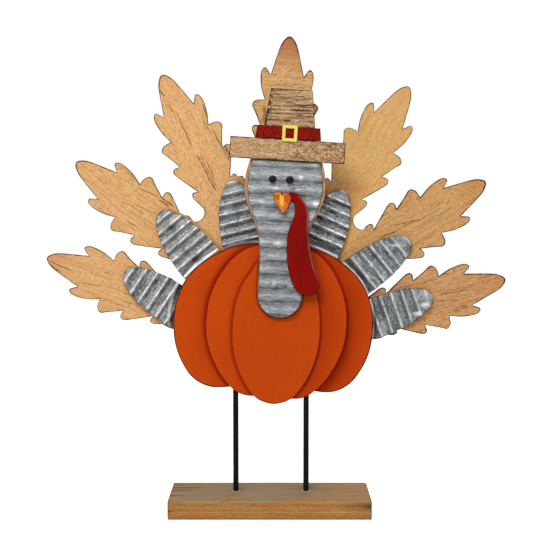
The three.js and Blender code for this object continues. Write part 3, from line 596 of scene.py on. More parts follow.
featherSheet = {
    "light": "9c9fa0", "dark": "4b4f50", "bright": "eceeee", "pale": "b9bfc3", "dirtAndShade": "24282a",
    "mottleCells": (430, 430, 520), "streakCells": (60, 300, 900), "mottle": 1.0, "streaks": 0.6,
    "blotch": 1.0, "wander": 0.4, "grit": 0.4, "smears": 0.5, "grime": 0.4, "below": 0.6, "darkFrom": 0.4,
    "lineFrom": 0.76, "pits": 0.6, "flecks": 0.35, "spotColor": "e2e6e9", "rim": (0.2, 0.7), "rough": 0.36,
    "relief": 0.12, "gloss": 0.15, "metal": 0.35,
}
headSheet = {
    **featherSheet, "light": "a2a4a6", "dark": "5e6063", "pale": "bac0c4", "dirtAndShade": "34393c",
    "streakCells": (95, 300, 1300), "mottle": 0.5, "streaks": 1.7, "blotch": 0.7, "grit": 0.3, "smears": 0.7,
    "grime": 0.25, "below": 0.7, "darkFrom": 0.7, "spotColor": "eef0f1", "rough": 0.42, "metal": 0.25,
}


def paintMaterial(name, paint):
    # Brushed-on paint: faint broad tone, fine brush marks, and rubbed dark rims
    material, tree, shader = newMaterial(name)
    grain = valueOf(tree, "grain")
    broad = cloud(tree, grain, (28, 28, 20), 3.0)
    brush = cloud(tree, grain, paint["brushCells"], 4.0, 0.6)
    speck = cloud(tree, grain, (1100, 1100, 1100), 3.0, 0.6)
    color = blend(tree, within(tree, broad, 0.35, 0.7), tone(paint["color"]), tone(paint["deep"]))
    color = coated(tree, color, paint, (
        ("light", within(tree, brush, paint["brushFrom"], paint["brushFrom"] + 0.25, 0.0, paint["brush"])),
        ("rub", within(tree, speck, 0.62, 0.74, 0.0, paint["specks"])),
        # The mark's coat: painted shade on the pumpkin boards and the beak, a painted highlight on the
        # wattle's rim, greyed steel on the nails
        ("shade", valueOf(tree, "mark")),
    ))
    color = layered(tree, color, paint["layers"])
    color = burntRim(tree, grain, color, tone(paint["rub"]), *paint["rim"])
    rough = within(tree, brush, 0.3, 0.7, paint["rough"], paint["rough"] + 0.1)
    finish(tree, shader, color, rough, figure(tree, "ADD", brush, speck), paint["relief"] * mm)
    shader.inputs["Specular IOR Level"].default_value = paint["gloss"]
    shader.inputs["Metallic"].default_value = paint["metal"]
    return material


anyPaint = {
    "brush": 0.3, "brushCells": (520, 520, 60), "brushFrom": 0.5, "specks": 0.2, "rim": (0.05, 0.1),
    "relief": 0.03, "gloss": 0.03, "metal": 0, "layers": (),
}
orangePaint = {
    **anyPaint, "color": "bc450b", "deep": "b8410a", "light": "c34e0f", "specks": 0.1, "rub": "4c2010",
    "shade": "8c1002", "rim": (1.0, 2.1), "rough": 0.55,
}
# Its contact layer is the painted shadow line under the board in front, with the dark rim where no board lies
# behind
softEdgedOrange = {**orangePaint, "rub": "b4401a", "rim": (0.4, 1.1), "layers": (("contact", "1c0a04"),)}
# Its shade colour is the pale pink of the painted highlight on the drop's right rim
redPaint = {
    **anyPaint, "color": "810c07", "deep": "740c08", "light": "90120b", "brush": 0.35, "specks": 0.15,
    "rub": "4c0a07", "shade": "d8a59c", "rim": (0.2, 0.6), "rough": 0.4, "relief": 0.02,
    "layers": (("streak", "5e0d09"),),
}
feltRed = {
    **redPaint, "color": "6e0c06", "deep": "540703", "light": "a02617", "brush": 0.9, "specks": 0.9,
    "brushCells": (900, 900, 700), "brushFrom": 0.42, "rub": "3f0a07", "rough": 0.62, "relief": 0.08,
    "layers": (),
}
beakPaint = {
    **anyPaint, "color": "da7024", "deep": "bc550e", "light": "f8a646", "brush": 1, "specks": 0.9,
    "brushCells": (700, 700, 320), "brushFrom": 0.44, "rub": "5c2c0c", "shade": "98590f",
    "rim": (0.4, 1.0), "rough": 0.34, "relief": 0.05, "gloss": 0.1,
    "layers": (("lit", "ffc04e"), ("side", "c8480e"), ("reddish", "d4580f"), ("wattled", "8a1609")),
}
bucklePaint = {
    **anyPaint, "color": "e3d674", "deep": "d6c65c", "light": "f2ea9c", "brush": 0.5, "specks": 0.3,
    "rub": "8a7a34", "shade": "b09c3c", "rim": (0.15, 0.5), "rough": 0.32, "metal": 0.2, "gloss": 0.15,
}
blackEnamel = {
    **anyPaint, "color": "0c0d10", "deep": "08090c", "light": "15171b", "rub": "050506", "shade": "050506",
    "rim": (0.1, 0.2), "rough": 0.25, "relief": 0.01, "gloss": 0.12,
}
rodPaint = {
    **anyPaint, "color": "171717", "deep": "121212", "light": "262626", "brush": 0.6, "specks": 0.3,
    "rub": "22211f", "shade": "0c0c0c", "rough": 0.5,
}
screwSteel = {
    **anyPaint, "color": "b9bab6", "deep": "a2a39f", "light": "d8d9d4", "brush": 0.5, "specks": 0.3,
    "rub": "5c5c58", "shade": "2f2f2d", "rough": 0.3, "metal": 0.9, "gloss": 0.3,
}
gluePaint = {
    **anyPaint, "color": "b9a68c", "deep": "a8937a", "light": "cfc0a8", "rub": "7d6a52", "shade": "7d6a52",
    "rough": 0.35, "relief": 0.05, "gloss": 0.1,
}
materials = {
    "raw_wood": woodMaterial("bareWood", bareWood),
    "head_wood": woodMaterial("headWood", headWood),
    "brim": woodMaterial("brimWood", brimWood),
    "crown": woodMaterial("crownWood", crownWood),
    "base_wood": woodMaterial("blockWood", blockWood),
    "head": sheetMaterial("headSheet", headSheet),
    "pumpkin_back": paintMaterial("orangePaint", orangePaint),
    "pumpkin_front": paintMaterial("softEdgedOrange", softEdgedOrange),
    "wattle": paintMaterial("wattlePaint", redPaint),
    "band": paintMaterial("bandPaint", feltRed),
    "beak_paint": paintMaterial("beakPaint", beakPaint),
    "buckle_paint": paintMaterial("bucklePaint", bucklePaint),
    "black_enamel": paintMaterial("blackEnamel", blackEnamel),
    "black_rod": paintMaterial("rodPaint", rodPaint),
    "screw_steel": paintMaterial("screwSteel", screwSteel),
    "glue": paintMaterial("driedGlue", gluePaint),
}
print("materials made:", len(materials))


# Leaf feathers

leaves = {
    "rounding": 0.35, "edgeStep": 1.6, "stepAcross": 1.5, "stepAlong": 1.7, "tipLength": 42,
    "seamReach": 1.6, "seamGrowth": 0.16, "wallRim": 0.8, "footStart": 35, "footLength": 48, "burnLength": 16,
}
roughLeaf = {"burn": "3f2c1e", "rim": (0.8, 1.7), "hairs": 0.55, "dashes": 0.75, "dashFrom": 0.6}
# Turn of each leaf's axis, its tint at the tip and the strength of its painted shade at the foot, then what
# differs in its wood. Each drawn crack has the across and along of its two ends, its width and its strength.
leafKinds = {
    "center": (1, 0.9, 0, {
        **roughLeaf, "light": "d8b27c", "dark": "ca9b66", "hairs": 0.4, "tint": "a8623a", "burn": "4a3524",
        "patches": ((42, 362.5, 5, 7, 0.85), (28, 405, 5, 5, 0.5)), "drawn": (
            (25.6, 49.8, 31.3, 46.1, 2.4, 0.8), (31.3, 46.1, 29.9, 40.6, 2.6, 0.9),
            (29.9, 40.6, 27.8, 36.8, 2.6, 0.9), (-17.2, 44, -16.4, 31.2, 2.2, 0.6),
            (-2.6, 106.3, 4.6, 105.6, 1.8, 0.7), (7.4, 101, 9.6, 93, 1.2, 0.6),
            (-4.6, 100, -7.2, 90, 1, 0.4))}),
    "upper_left": (-28.1, 0.1, 0.15, {"drawn": (
        (-4.4, 75, -4.6, 37.4, 0.6, 0.9), (-3.8, 32.3, -2.6, -8.9, 0.7, 1),
        (-1.9, 30, -0.4, -6, 0.55, 0.8), (1.4, 22, 1.2, 3, 0.7, 0.7), (14.5, 60, 16.5, 40, 0.6, 0.7),
        (19, 45.6, 20.6, 11.4, 0.8, 0.9), (22, 30, 23.4, 12, 1.8, 0.75), (19.8, 70.8, 19.7, 56.4, 0.9, 0.9),
        (-8.7, 97.5, -7.9, 91.1, 1, 0.8), (-7.5, 82.6, -7.4, 75, 0.7, 0.6),
        (-37.2, -23.3, -30.1, -36.8, 0.8, 0.9))}),
    "upper_right": (28.1, 0.1, 0.6, {
        "light": "d5ab6e", "dark": "c99c60", "warm": "cf995b", "cracks": 0.2, "hairs": 0.08, "dashes": 0.25,
        "fibre": 0.4, "tint": "b86c30", "tipBurn": 0.2,
        # Its patches are painted shade under the hat
        "patches": ((70, 280, 6, 12, 0.75), (78, 292, 9, 5, 0.5), (60, 318, 4, 8, 0.5))}),
    "middle_left": (-55.7, 0.15, 0.2, {"hairs": 0.35, "drawn": (
        (-11.1, 47.1, -9.9, 35.4, 0.8, 0.6), (22.1, 35.1, 22.1, 24.9, 1.1, 0.8),
        (18.8, 57.9, 23.7, 36.3, 0.7, 0.7), (5, 52, 9, 30, 0.5, 0.55), (1, 60, 3.5, 38, 0.5, 0.5),
        (-3, 50, 0, 28, 0.5, 0.5), (24.6, 34, 24.4, 20, 1.4, 0.7))}),
    "middle_right": (55.7, 0.4, 0.35, {
        # Darker than the left leaves, partly in its own tone and partly as painted shade on the side away
        # from the light
        **roughLeaf, "light": "d0a46e", "dark": "bf8f58", "warm": "c9975d", "drawn": (
            (-13.8, 23.2, -5.5, 47.1, 0.7, 0.8), (-5.5, 47.1, -4.5, 68.9, 0.6, 0.6),
            (-11.3, 4.6, -7.2, 23.5, 0.7, 0.7), (-9, 30, -3.6, 52, 0.5, 0.6), (-1, 10, 2, 34, 0.5, 0.5))}),
    "lower_left": (-71.9, 0.3, 0.1, {"hairs": 0.35, "drawn": (
        (-0.8, 106.6, -2.7, 83.1, 0.7, 0.9), (-10.5, 74.8, -5.5, 51.6, 0.6, 0.7),
        (-12, 29.7, -10.1, 12.9, 0.6, 0.7), (-4.4, 101, -7.6, 92, 1, 0.8), (2, 70, 3, 44, 0.5, 0.5))}),
    "lower_right": (71.9, 0.3, 0.1, {
        # Darker than the left leaves, partly in its own tone and partly as painted shade on the side away
        # from the light
        **roughLeaf, "light": "d0a16e", "dark": "be8c5a", "warm": "ca935f", "red": "ca8755", "drawn": (
            (-2.2, 43.9, 0.7, 75.4, 0.6, 0.8), (2.1, 38.9, 7.6, 62.2, 0.5, 0.7),
            (14.6, 63.2, 15.2, 66, 2.6, 0.5), (16.4, 56.1, 17, 58.5, 2.6, 0.45),
            (-4, 50, -1.5, 80, 0.5, 0.5))}),
}


def makeLeaf(kind, seed):
    ownTurn, tipShare, footShare, wood = leafKinds[kind]
    turn, allWood = ownTurn + leanTurn, {**leafWood, **wood}
    others = [borderOf(f"leaf_feather_{other}") for other in leafKinds if other != kind]

    def nearOther(flatPoints, low, high):
        apart = np.min([distanceTo(flatPoints, *other) for other in others], 0)
        return 1 - eased(apart, low * mm, high * mm)

    def tinted(across, along, points):
        # A darker tip, painted shade at the foot, and the listed patches, which on the upper right leaf are
        # painted shade under the hat
        tip = tipShare * eased(along, along.max() - leaves["tipLength"] * mm, along.max())
        footStart = along.min() + leaves["footStart"] * mm
        foot = footShare * (1 - eased(along, footStart, footStart + leaves["footLength"] * mm))
        return np.maximum(np.maximum(tip, foot), spots(points, allWood["patches"]))

    def worn(across, along):
        return 0.06 * mm * (0.5 + roughness(across, along, 1.6 * mm, 22 * mm, seed))

    def seam(points):
        # Close to another leaf the rim isn't burnt, and at the tip it is burnt further in
        along = points[:, [0, 2]] @ axesAt(turn)[1]
        tip = eased(along, along.max() - leaves["burnLength"] * mm, along.max() - 2 * mm)
        ragged = 0.6 + 0.8 * roughness(points[:, 0], points[:, 2], 3 * mm, 3 * mm, seed)
        burnt = allWood["tipBurn"] * mm * tip * ragged
        return 6 * mm * nearOther(points[:, [0, 2]], 0.6, leaves["seamReach"]) - burnt

    settings = {
        **leaves, "name": f"leaf_{kind}", "turn": turn, "seed": seed,
        "grainTurn": turn + (90 if kind == "center" else 0),
        "reachOut": lambda flatPoints: leaves["seamGrowth"] * mm * nearOther(flatPoints, 0.5, 1.2),
    }
    material = woodMaterial(f"leafWood_{kind}", allWood)
    dressBoard(f"leaf_feather_{kind}", material, settings, worn, tinted, seam)


for seed, kind in enumerate(leafKinds):
    makeLeaf(kind, 11 + seed)
print("leaves made")


# Corrugated feathers and the head's sheet

sheets = {
    "thickness": 0.6, "rounding": 0.11, "edgeStep": 0.9, "stepAcross": 2.2, "rowsPerRidge": 18,
    "featherPitch": 9.4, "headPitch": 11.9, "swell": 1.05, "dent": 0.3,
}


def ridgesOf(flat, depths, pitch, near, reach=40):
    # The turn and the phase at which the crests' points line up best, one pitch apart
    turns = near + np.linspace(-reach, reach, 16 * reach + 1)
    rows = np.stack([flat @ axesAt(turn)[1] for turn in turns])
    crests = depths < depths.min() + 0.02 * mm
    sums = np.exp(2j * pi * rows[:, crests] / pitch).mean(1)
    best = np.abs(sums).argmax()
    return turns[best], np.angle(sums[best])


def endBands(points, bands):
    # Bands that run beside the pumpkin's edge, for the painted highlight and the painted shadow there
    apart = distanceTo(points[:, [0, 2]], *borderOf("pumpkin_back_board")) / mm
    uneven = 0.8 * roughness(points[:, 0], points[:, 2], 5 * mm, 5 * mm, 47)
    total = np.zeros(len(points))
    for start, end, strength in bands:
        band = eased(apart, start - 0.5, start + 0.3) * (1 - eased(apart + uneven, end - 0.4, end + 0.4))
        total = np.maximum(total, strength * band)
    return total


def dressSheet(node, name, pitch, near, material, look, seed):
    # A sheet whose height is a cosine along its own axis, dented a little, with an even thickness
    points, _ = mergedNode(node)
    turn, phase = ridgesOf(points[:, [0, 2]], points[:, 1], pitch, near)
    flat, loop, front, _ = frontOutline(node, 3 * mm)
    outline = smoothed(flat, loop, sheets["edgeStep"] * mm)
    inner = gridInside(*outline, turn, sheets["stepAcross"] * mm, pitch / sheets["rowsPerRidge"])
    across, along = axesAt(turn)
    swell, thickness = sheets["swell"] * mm, sheets["thickness"] * mm

    def wave(flatPoints, rise=0):
        return np.cos(2 * pi * (flatPoints @ along - rise * mm) / pitch - phase)

    def frontAt(flatPoints):
        u, v = flatPoints @ across, flatPoints @ along
        dents = roughness(u, v, 9 * mm, 6 * mm, seed) + 0.5 * roughness(u, v, 3 * mm, 2.5 * mm, seed + 1)
        inward = np.clip(sheets["dent"] * mm * (0.75 + dents), 0, None)
        return front + swell * (1 - wave(flatPoints)) + inward * 0.5 * (1 + wave(flatPoints))

    points, faces, rim = solidBetween(
        outline, frontAt, lambda flatPoints: frontAt(flatPoints) + thickness, inner,
        sheets["rounding"] * mm, 0, 2,
    )
    flatPoints = points[:, [0, 2]]
    run = flatPoints @ along
    outer = (run - run.min()) / (run.max() - run.min())
    attributes = {
        "grain": grainOf(points, turn, seed), "rim": rim, "mark": wave(flatPoints),
        # Where the painted highlight line above each crest and the painted shade line below it fall
        "above": wave(flatPoints, look["lineRise"]), "below": wave(flatPoints, -look["darkDrop"]),
        "glintStrength": look["glintStrength"] * (1 - look["fade"] * eased(outer, 0.45, 0.9)),
        # Spots with the bands of painted highlight, smudges with the bands of painted shadow beside the
        # pumpkin
        "spot": np.maximum(spots(points, look["spots"]), endBands(points, look["highlightBands"])),
        "smudgeAndShadow": np.maximum(spots(points, look["smudges"]), endBands(points, look["shadowBands"])),
    }
    return dressNode(node, name, points, faces, material, attributes, 70)


# Each corrugated feather: turn, share of the common pitch, brightness of its painted highlight lines and how
# much they fade to the tip, what differs in its sheet, its bright spots and its smudges, and its bands of
# painted highlight and of painted shadow beside the pumpkin, each from and to a distance, with a strength
feathers = {
    "upper_left": (-16.5, 0.94, 0.4, 0.3, {
        "light": "888b8d", "dark": "484b4d"},
        ((-35, 296, 8, 7, 0.25),), (), ((0.5, 2.4, 0.7),), ((2.7, 4.6, 0.5),)),
    "middle_left": (-42.5, 0.95, 0.78, 0.15, {
        "light": "aeaeaa", "dark": "656563", "bright": "e8e9e5", "below": 0.7, "lineFrom": 0.84},
        ((-72, 268, 4, 4, 0.2),),
        ((-90, 257, 5, 3, 0.95), (-68, 228.5, 5.5, 3, 0.95), (-86, 237, 3.4, 2.4, 0.6),
         (-77, 236, 6, 3, 0.5)),
        ((0.4, 3, 0.75),), ((3.3, 5.4, 0.6),)),
    "lower_left": (-58.5, 1.09, 0.85, 0.1, {
        "light": "a8a9a8", "dark": "595b5a", "bright": "eeefed", "below": 0.8, "lineFrom": 0.82},
        (), ((-96, 216, 3, 2.4, 0.6), (-88, 206, 3, 3, 0.5)), ((3.7, 6.4, 0.3),), ((0.3, 3.3, 0.7),)),
    "upper_right": (21.5, 1, 1, 0.2, {
        "light": "b8bbbb", "dark": "545758", "below": 1, "grime": 0.5, "smears": 0.6, "darkFrom": -0.1},
        ((68, 287, 9, 6, 0.3),), ((50, 280, 6, 3.5, 0.6),), ((0.3, 2, 0.9),), ((2.3, 6.6, 0.75),)),
    "middle_right": (48.5, 1.06, 0.75, 0.6, {
        "light": "9ea1a3", "dark": "575a5c", "smears": 0.7, "flecks": 0.6, "below": 0.7},
        ((126, 250, 9, 6, 0.25), (114, 241, 5, 1.2, 0.5)), ((96, 232, 4, 1.6, 0.5), (84, 236, 2, 3, 0.6)),
        ((0.4, 1.4, 0.85),), ((1.7, 5.2, 0.7),)),
    "lower_right": (68.5, 1.06, 0.55, 0.3, {
        "light": "949799", "dark": "4d4f50", "smears": 0.6, "flecks": 0.5, "blotch": 1.3},
        ((142.5, 186.7, 3.4, 2, 0.95), (135.5, 178.5, 3.4, 1.8, 0.9), (143, 197, 6, 5, 0.35)), (),
        ((0.4, 1.5, 0.65),), ((1.8, 4.2, 0.7),)),
}
backings = {"rounding": 0.3, "edgeStep": 1.2, "stepAcross": 2.5, "stepAlong": 2.5}
for seed, (kind, (turn, share, glintStrength, fade, sheet, *painted)) in enumerate(feathers.items()):
    turn += leanTurn
    look = {"glintStrength": glintStrength, "fade": fade, "lineRise": 0.9, "darkDrop": 1.9}
    look.update(zip(("spots", "smudges", "highlightBands", "shadowBands"), painted))
    pitch = sheets["featherPitch"] * share * mm
    material = sheetMaterial(f"featherSheet_{kind}", {**featherSheet, **sheet})
    dressSheet(f"metal_feather_{kind}", f"ribbed_feather_{kind}", pitch, turn, material, look, 31 + seed)
    backing = {**backings, "name": f"feather_board_{kind}", "turn": turn, "seed": 51 + seed}
    dressBoard(f"feather_backing_{kind}", materials["raw_wood"], backing)
look = {
    "glintStrength": 0.15, "fade": 0, "lineRise": 2.5, "darkDrop": 2.8, "highlightBands": (), "shadowBands": (),
    "spots": (
        (40.9, 279.1, 2.4, 1.6, 0.95), (27.6, 302.3, 1.6, 1.1, 0.9), (6, 293, 2.4, 1, 0.6),
        (7, 244.6, 3, 2, 0.5), (24, 291.6, 2.6, 0.7, 0.5), (3.5, 208.6, 1.4, 2.2, 0.4),
        (14, 312, 60, 12, 0.08),
    ),
    "smudges": (
        (21.5, 292.3, 2.6, 1.5, 0.8), (34.7, 309.8, 6, 2, 0.5), (-0.8, 206, 1.6, 2, 0.5),
        (12.8, 206, 3.2, 2.6, 0.95), (12, 214, 5, 1.4, 0.4), (3.2, 273, 3, 1.5, 0.4),
        (6, 198, 60, 45, 0.2),
    ),
}
dressSheet("head_metal", "ribbed_head", sheets["headPitch"] * mm, leanTurn, materials["head"], look, 41)
print("corrugated sheets made")


# Pumpkin boards, with shade in the corners beside the board in front of each

pumpkin = {
    "rounding": 1.0, "edgeStep": 1.6, "stepAcross": 1.2, "stepAlong": 1.8, "turn": leanTurn, "faceDepth": 1,
    "rightReach": 30, "rightShare": 0.5,
}


def dressPumpkinBoard(node, name, cover, beneath, material, shade, reach, contact, seed):
    # A flat board, a little uneven, shaded beside the outline of the board that covers it
    flat, loop = borderOf(cover)

    def shadeBeside(across, along, points):
        # Deep and narrow all round, and a fainter, wider shade on the side away from the light
        apart = distanceTo(points[:, [0, 2]], flat, loop)
        outside = ~isInside(points[:, [0, 2]], flat, loop)
        close = 1 - eased(apart, 0.3 * mm, reach * mm)
        right = eased(points[:, 0], flat[:, 0].mean(), flat[:, 0].max())
        far = right * pumpkin["rightShare"] * (1 - eased(apart, 0, pumpkin["rightReach"] * mm))
        return outside * shade * np.maximum(close, far)

    def contactShadowAndRim(across, along, points):
        # A painted shadow line under the board in front, and a dark rim where no board lies behind it
        place = points[:, [0, 2]]
        line = contact * (1 - eased(distanceTo(place, flat, loop), 0.5 * mm, 1.2 * mm))
        if beneath is None:
            return line
        edge = 1 - eased(distanceTo(place, *borderOf(node)), 0.4 * mm, 1.2 * mm)
        bare = ~isInside(place, *borderOf(beneath))
        return np.maximum(line, 0.6 * edge * bare)

    def uneven(across, along):
        return 0.12 * mm * (0.5 + roughness(across, along, 14 * mm, 22 * mm, seed))

    settings = {**pumpkin, "name": name, "seed": seed}
    extras = {"contact": contactShadowAndRim}
    dressBoard(node, materials[material], settings, relief=uneven, mark=shadeBeside, extras=extras)


# Each board's node and name, the node in front, the one behind where that shapes its dark rim, its paint,
# the shade's strength and reach, and the strength of the painted shadow line under the board in front
pumpkinBoards = (
    ("pumpkin_back_board", "pumpkin_lobes", "pumpkin_middle_board", None, "pumpkin_back", 0.95, 7, 0),
    ("pumpkin_middle_board", "pumpkin_body", "pumpkin_front_board", "pumpkin_back_board", "pumpkin_front",
     0.75, 4.8, 0),
    ("pumpkin_front_board", "pumpkin_front", "head_board", "pumpkin_middle_board", "pumpkin_front",
     0.35, 2.4, 0.85),
)
for seed, board in enumerate(pumpkinBoards):
    dressPumpkinBoard(*board, 61 + seed)
print("pumpkin made")


# Head board, wattle, hat and the holders behind

plain = {"rounding": 0.4, "edgeStep": 1.4, "stepAcross": 2.0, "stepAlong": 2.0, "turn": leanTurn, "seed": 71}
dressBoard("head_board", materials["head_wood"], {**plain, "name": "head_back"})


def paintedEdgeHighlight(across, along, points):
    # A painted highlight along the drop's right rim
    flat, loop = borderOf("wattle")
    middles, side = (flat[loop[:, 0]] + flat[loop[:, 1]]) / 2, flat[loop[:, 1]] - flat[loop[:, 0]]
    place = points[:, [0, 2]]
    nearest = ((place[:, None] - middles[None]) ** 2).sum(2).argmin(1)
    outward = np.stack([side[nearest, 1], -side[nearest, 0]], 1)
    outward /= np.linalg.norm(outward, axis=1)[:, None]
    close = 1 - eased(distanceTo(place, flat, loop), 0.2 * mm, drop["highlightWidth"] * mm)
    return drop["pale"] * close * eased(outward[:, 0], 0.55, 0.9) * eased(along, -38 * mm, -20 * mm)


def dropStreak(across, along, points):
    # A darker streak that winds down the drop
    bend = drop["streakSwing"] * mm * np.sin(along / (drop["streakTurn"] * mm)) + drop["streakShift"] * mm
    ragged = 0.7 + roughness(across, along, 3 * mm, 9 * mm, 45)
    return drop["streak"] * np.exp(-(((across - bend) / (drop["streakWidth"] * mm)) ** 2)) * ragged


drop = {
    **plain, "name": "wattle_drop", "rounding": 0.8, "seed": 72, "edgeStep": 1.0, "stepAcross": 1.2,
    # pale and its width set the painted highlight along the right rim
    "stepAlong": 1.2, "pale": 0.75, "highlightWidth": 1.1, "streak": 0.5, "streakSwing": 3.5, "streakTurn": 14,
    "streakShift": 2, "streakWidth": 1.6,
}
dressBoard("wattle", materials["wattle"], drop, mark=paintedEdgeHighlight, extras={"streak": dropStreak})

hat = {
    "turn": 3.55, "rounding": 0.4, "edgeStep": 1.2, "stepAcross": 1.2, "stepAlong": 0.36, "grooveDepth": 0.9,
    "grooveWidth": 0.44, "pitDepth": 0.35, "wallRim": 1.0,
}
# Saw marks across the crown, each as across and along of its ends, strength and width as a share
sawMarks = (
    (-16, 25.5, 18.4, 27.4, 0.8, 1), (-5, 23.3, 8, 23.8, 0.75, 1), (-13, 20.2, 15, 21.5, 0.75, 1),
    (-13, 18.3, 19.5, 19.8, 0.95, 1.1), (-5, 15.5, 6, 15.5, 0.8, 1), (-19.5, 11.9, 24, 14.3, 1, 1.5),
    (1, 9.1, 21, 9.6, 1, 1.6), (-19, 5.1, 12, 6, 1, 1.4), (6.6, 4, 22, 4.4, 1, 1.2),
    (-21, -0.3, -7, 0.1, 0.95, 1.1), (-3.5, -0.8, 2.2, -0.8, 1, 2.4), (10, -0.3, 22.6, -0.2, 1, 1.2),
    (-18, 8.6, -2, 8.8, 0.85, 1), (-16, 16.8, 2, 17, 0.7, 0.9), (-2, 2.2, 14, 2.4, 0.8, 1),
    (-20, 2.4, -8, 2.5, 0.9, 1), (2, 17.2, 17, 17.9, 0.7, 0.9), (-15, 22.4, -2, 22.6, 0.7, 0.9),
    (-6, 11, 10, 11.2, 0.6, 0.9), (-18, 14, -6, 14.4, 0.7, 0.9), (3, 7, 22, 7.4, 0.6, 0.9),
    (-14, -6, 20, -5, 0.6, 1), (-20, -12, 12, -11, 0.7, 1), (-10, -18, 22, -17, 0.8, 1),
    (-22, -23, 10, -23, 0.6, 1),
)


def sawShare(across, along):
    # Each mark is a dip along its own line that wanders a little and is broken in places
    total = np.zeros(len(across))
    thick = 1 + 0.6 * roughness(across, along, 4 * mm, 1.2 * mm, 85)
    for i, (startAcross, startAlong, endAcross, endAlong, strength, width) in enumerate(sawMarks):
        share = (across / mm - startAcross) / (endAcross - startAcross)
        line = startAlong + np.clip(share, 0, 1) * (endAlong - startAlong)
        line = line + 0.9 * roughness(across, across * 0 + i, 9 * mm, 1, 80)
        inside = eased(share, -0.03, 0.06) * (1 - eased(share, 0.94, 1.03))
        whole = 0.55 + 0.45 * eased(roughness(across, across * 0 + i * 7, 5 * mm, 1, 81), -0.3, 0.1)
        dip = np.exp(-(((along / mm - line) / (width * thick * hat["grooveWidth"])) ** 2))
        total = np.maximum(total, strength * inside * whole * dip)
    return total


def darkSide(across, along):
    # Dark flecks down the crown's left edge
    edge = (-16.7 + (26.1 - along / mm) * -3.1 / 28.6) * mm
    fleck = 0.5 + roughness(across, along, 2.2 * mm, 1.5 * mm, 84)
    return (1 - eased(across - edge, 1.0 * mm, 5.0 * mm)) * eased(fleck, 0.3, 0.6)


def pitShare(across, along):
    # Specks that get denser to the right and at the lower edge
    density = 0.2 + 0.65 * eased(across, -40 * mm, 30 * mm) + 0.25 * (1 - eased(along, -10 * mm, -5 * mm))
    fine = roughness(across, along, 1.2 * mm, 0.8 * mm, 82)
    fine = fine + 0.5 * roughness(across, along, 4 * mm, 2 * mm, 83)
    return eased(fine, 0.45 - 0.7 * density, 0.9 - 0.7 * density)


hat["grainTurn"] = hat["turn"] + 90
crown = {**hat, "name": "crown_board", "seed": 73}
# The mark darkens the saw marks, partly in the wood's own dark and partly as painted shade in their grooves,
# and lays the dark flecks down the left edge
dressBoard(
    "hat_crown", materials["crown"], crown,
    lambda across, along: hat["grooveDepth"] * mm * sawShare(across, along),
    lambda across, along, points: np.maximum(sawShare(across, along), 0.95 * darkSide(across, along)),
)
brim = {**hat, "name": "brim_board", "seed": 74, "stepAcross": 0.6, "stepAlong": 0.42}
dressBoard(
    "hat_brim", materials["brim"], brim,
    lambda across, along: hat["pitDepth"] * mm * pitShare(across, along),
    lambda across, along, points: 0.85 * pitShare(across, along),
)
band = {**plain, "name": "hat_ribbon", "turn": hat["turn"], "rounding": 0.5, "seed": 75}
dressBoard("hat_band", materials["band"], band)
buckle = {**band, "name": "buckle_frame", "seed": 76, "edgeStep": 0.8, "stepAcross": 0.9, "stepAlong": 0.9}
dressBoard("hat_buckle", materials["buckle_paint"], buckle)
holders = {**plain, "stepAcross": 3.0, "stepAlong": 3.0}
dressBoard("tail_spacer", materials["raw_wood"], {**holders, "name": "spacer_board", "seed": 77})
dressBoard("tail_back_plate", materials["raw_wood"], {**holders, "name": "back_plate", "seed": 78})
print("head, hat and holders made")


# Beak: a folded heart

beak = {
    "rounding": 0.3, "edgeStep": 0.5, "step": 0.6, "crease": 0.8, "cupDepth": 0.8, "cupReach": 4.5,
    "cupRise": 4.5, "cupWide": 2.4, "cupHigh": 3.2, "patchEdge": 0.8,
    # Each patch's side and drop from the notch, its half width and half height, and its strength
    # mark is painted shade in the upper left lobe's cup, lit a painted highlight beside the crease, side
    # painted shade low on the right lobe
    "patches": {
        "mark": (-4.6, 1.4, 2.6, 2.8, 0.85), "lit": (-0.6, 4.4, 1.5, 5.5, 0.8), "side": (5.2, 4, 3, 6, 0.9),
        "reddish": (5.2, 0.6, 2.8, 4.6, 0.55), "wattled": (8.4, -0.8, 2.4, 4, 1),
    },
}


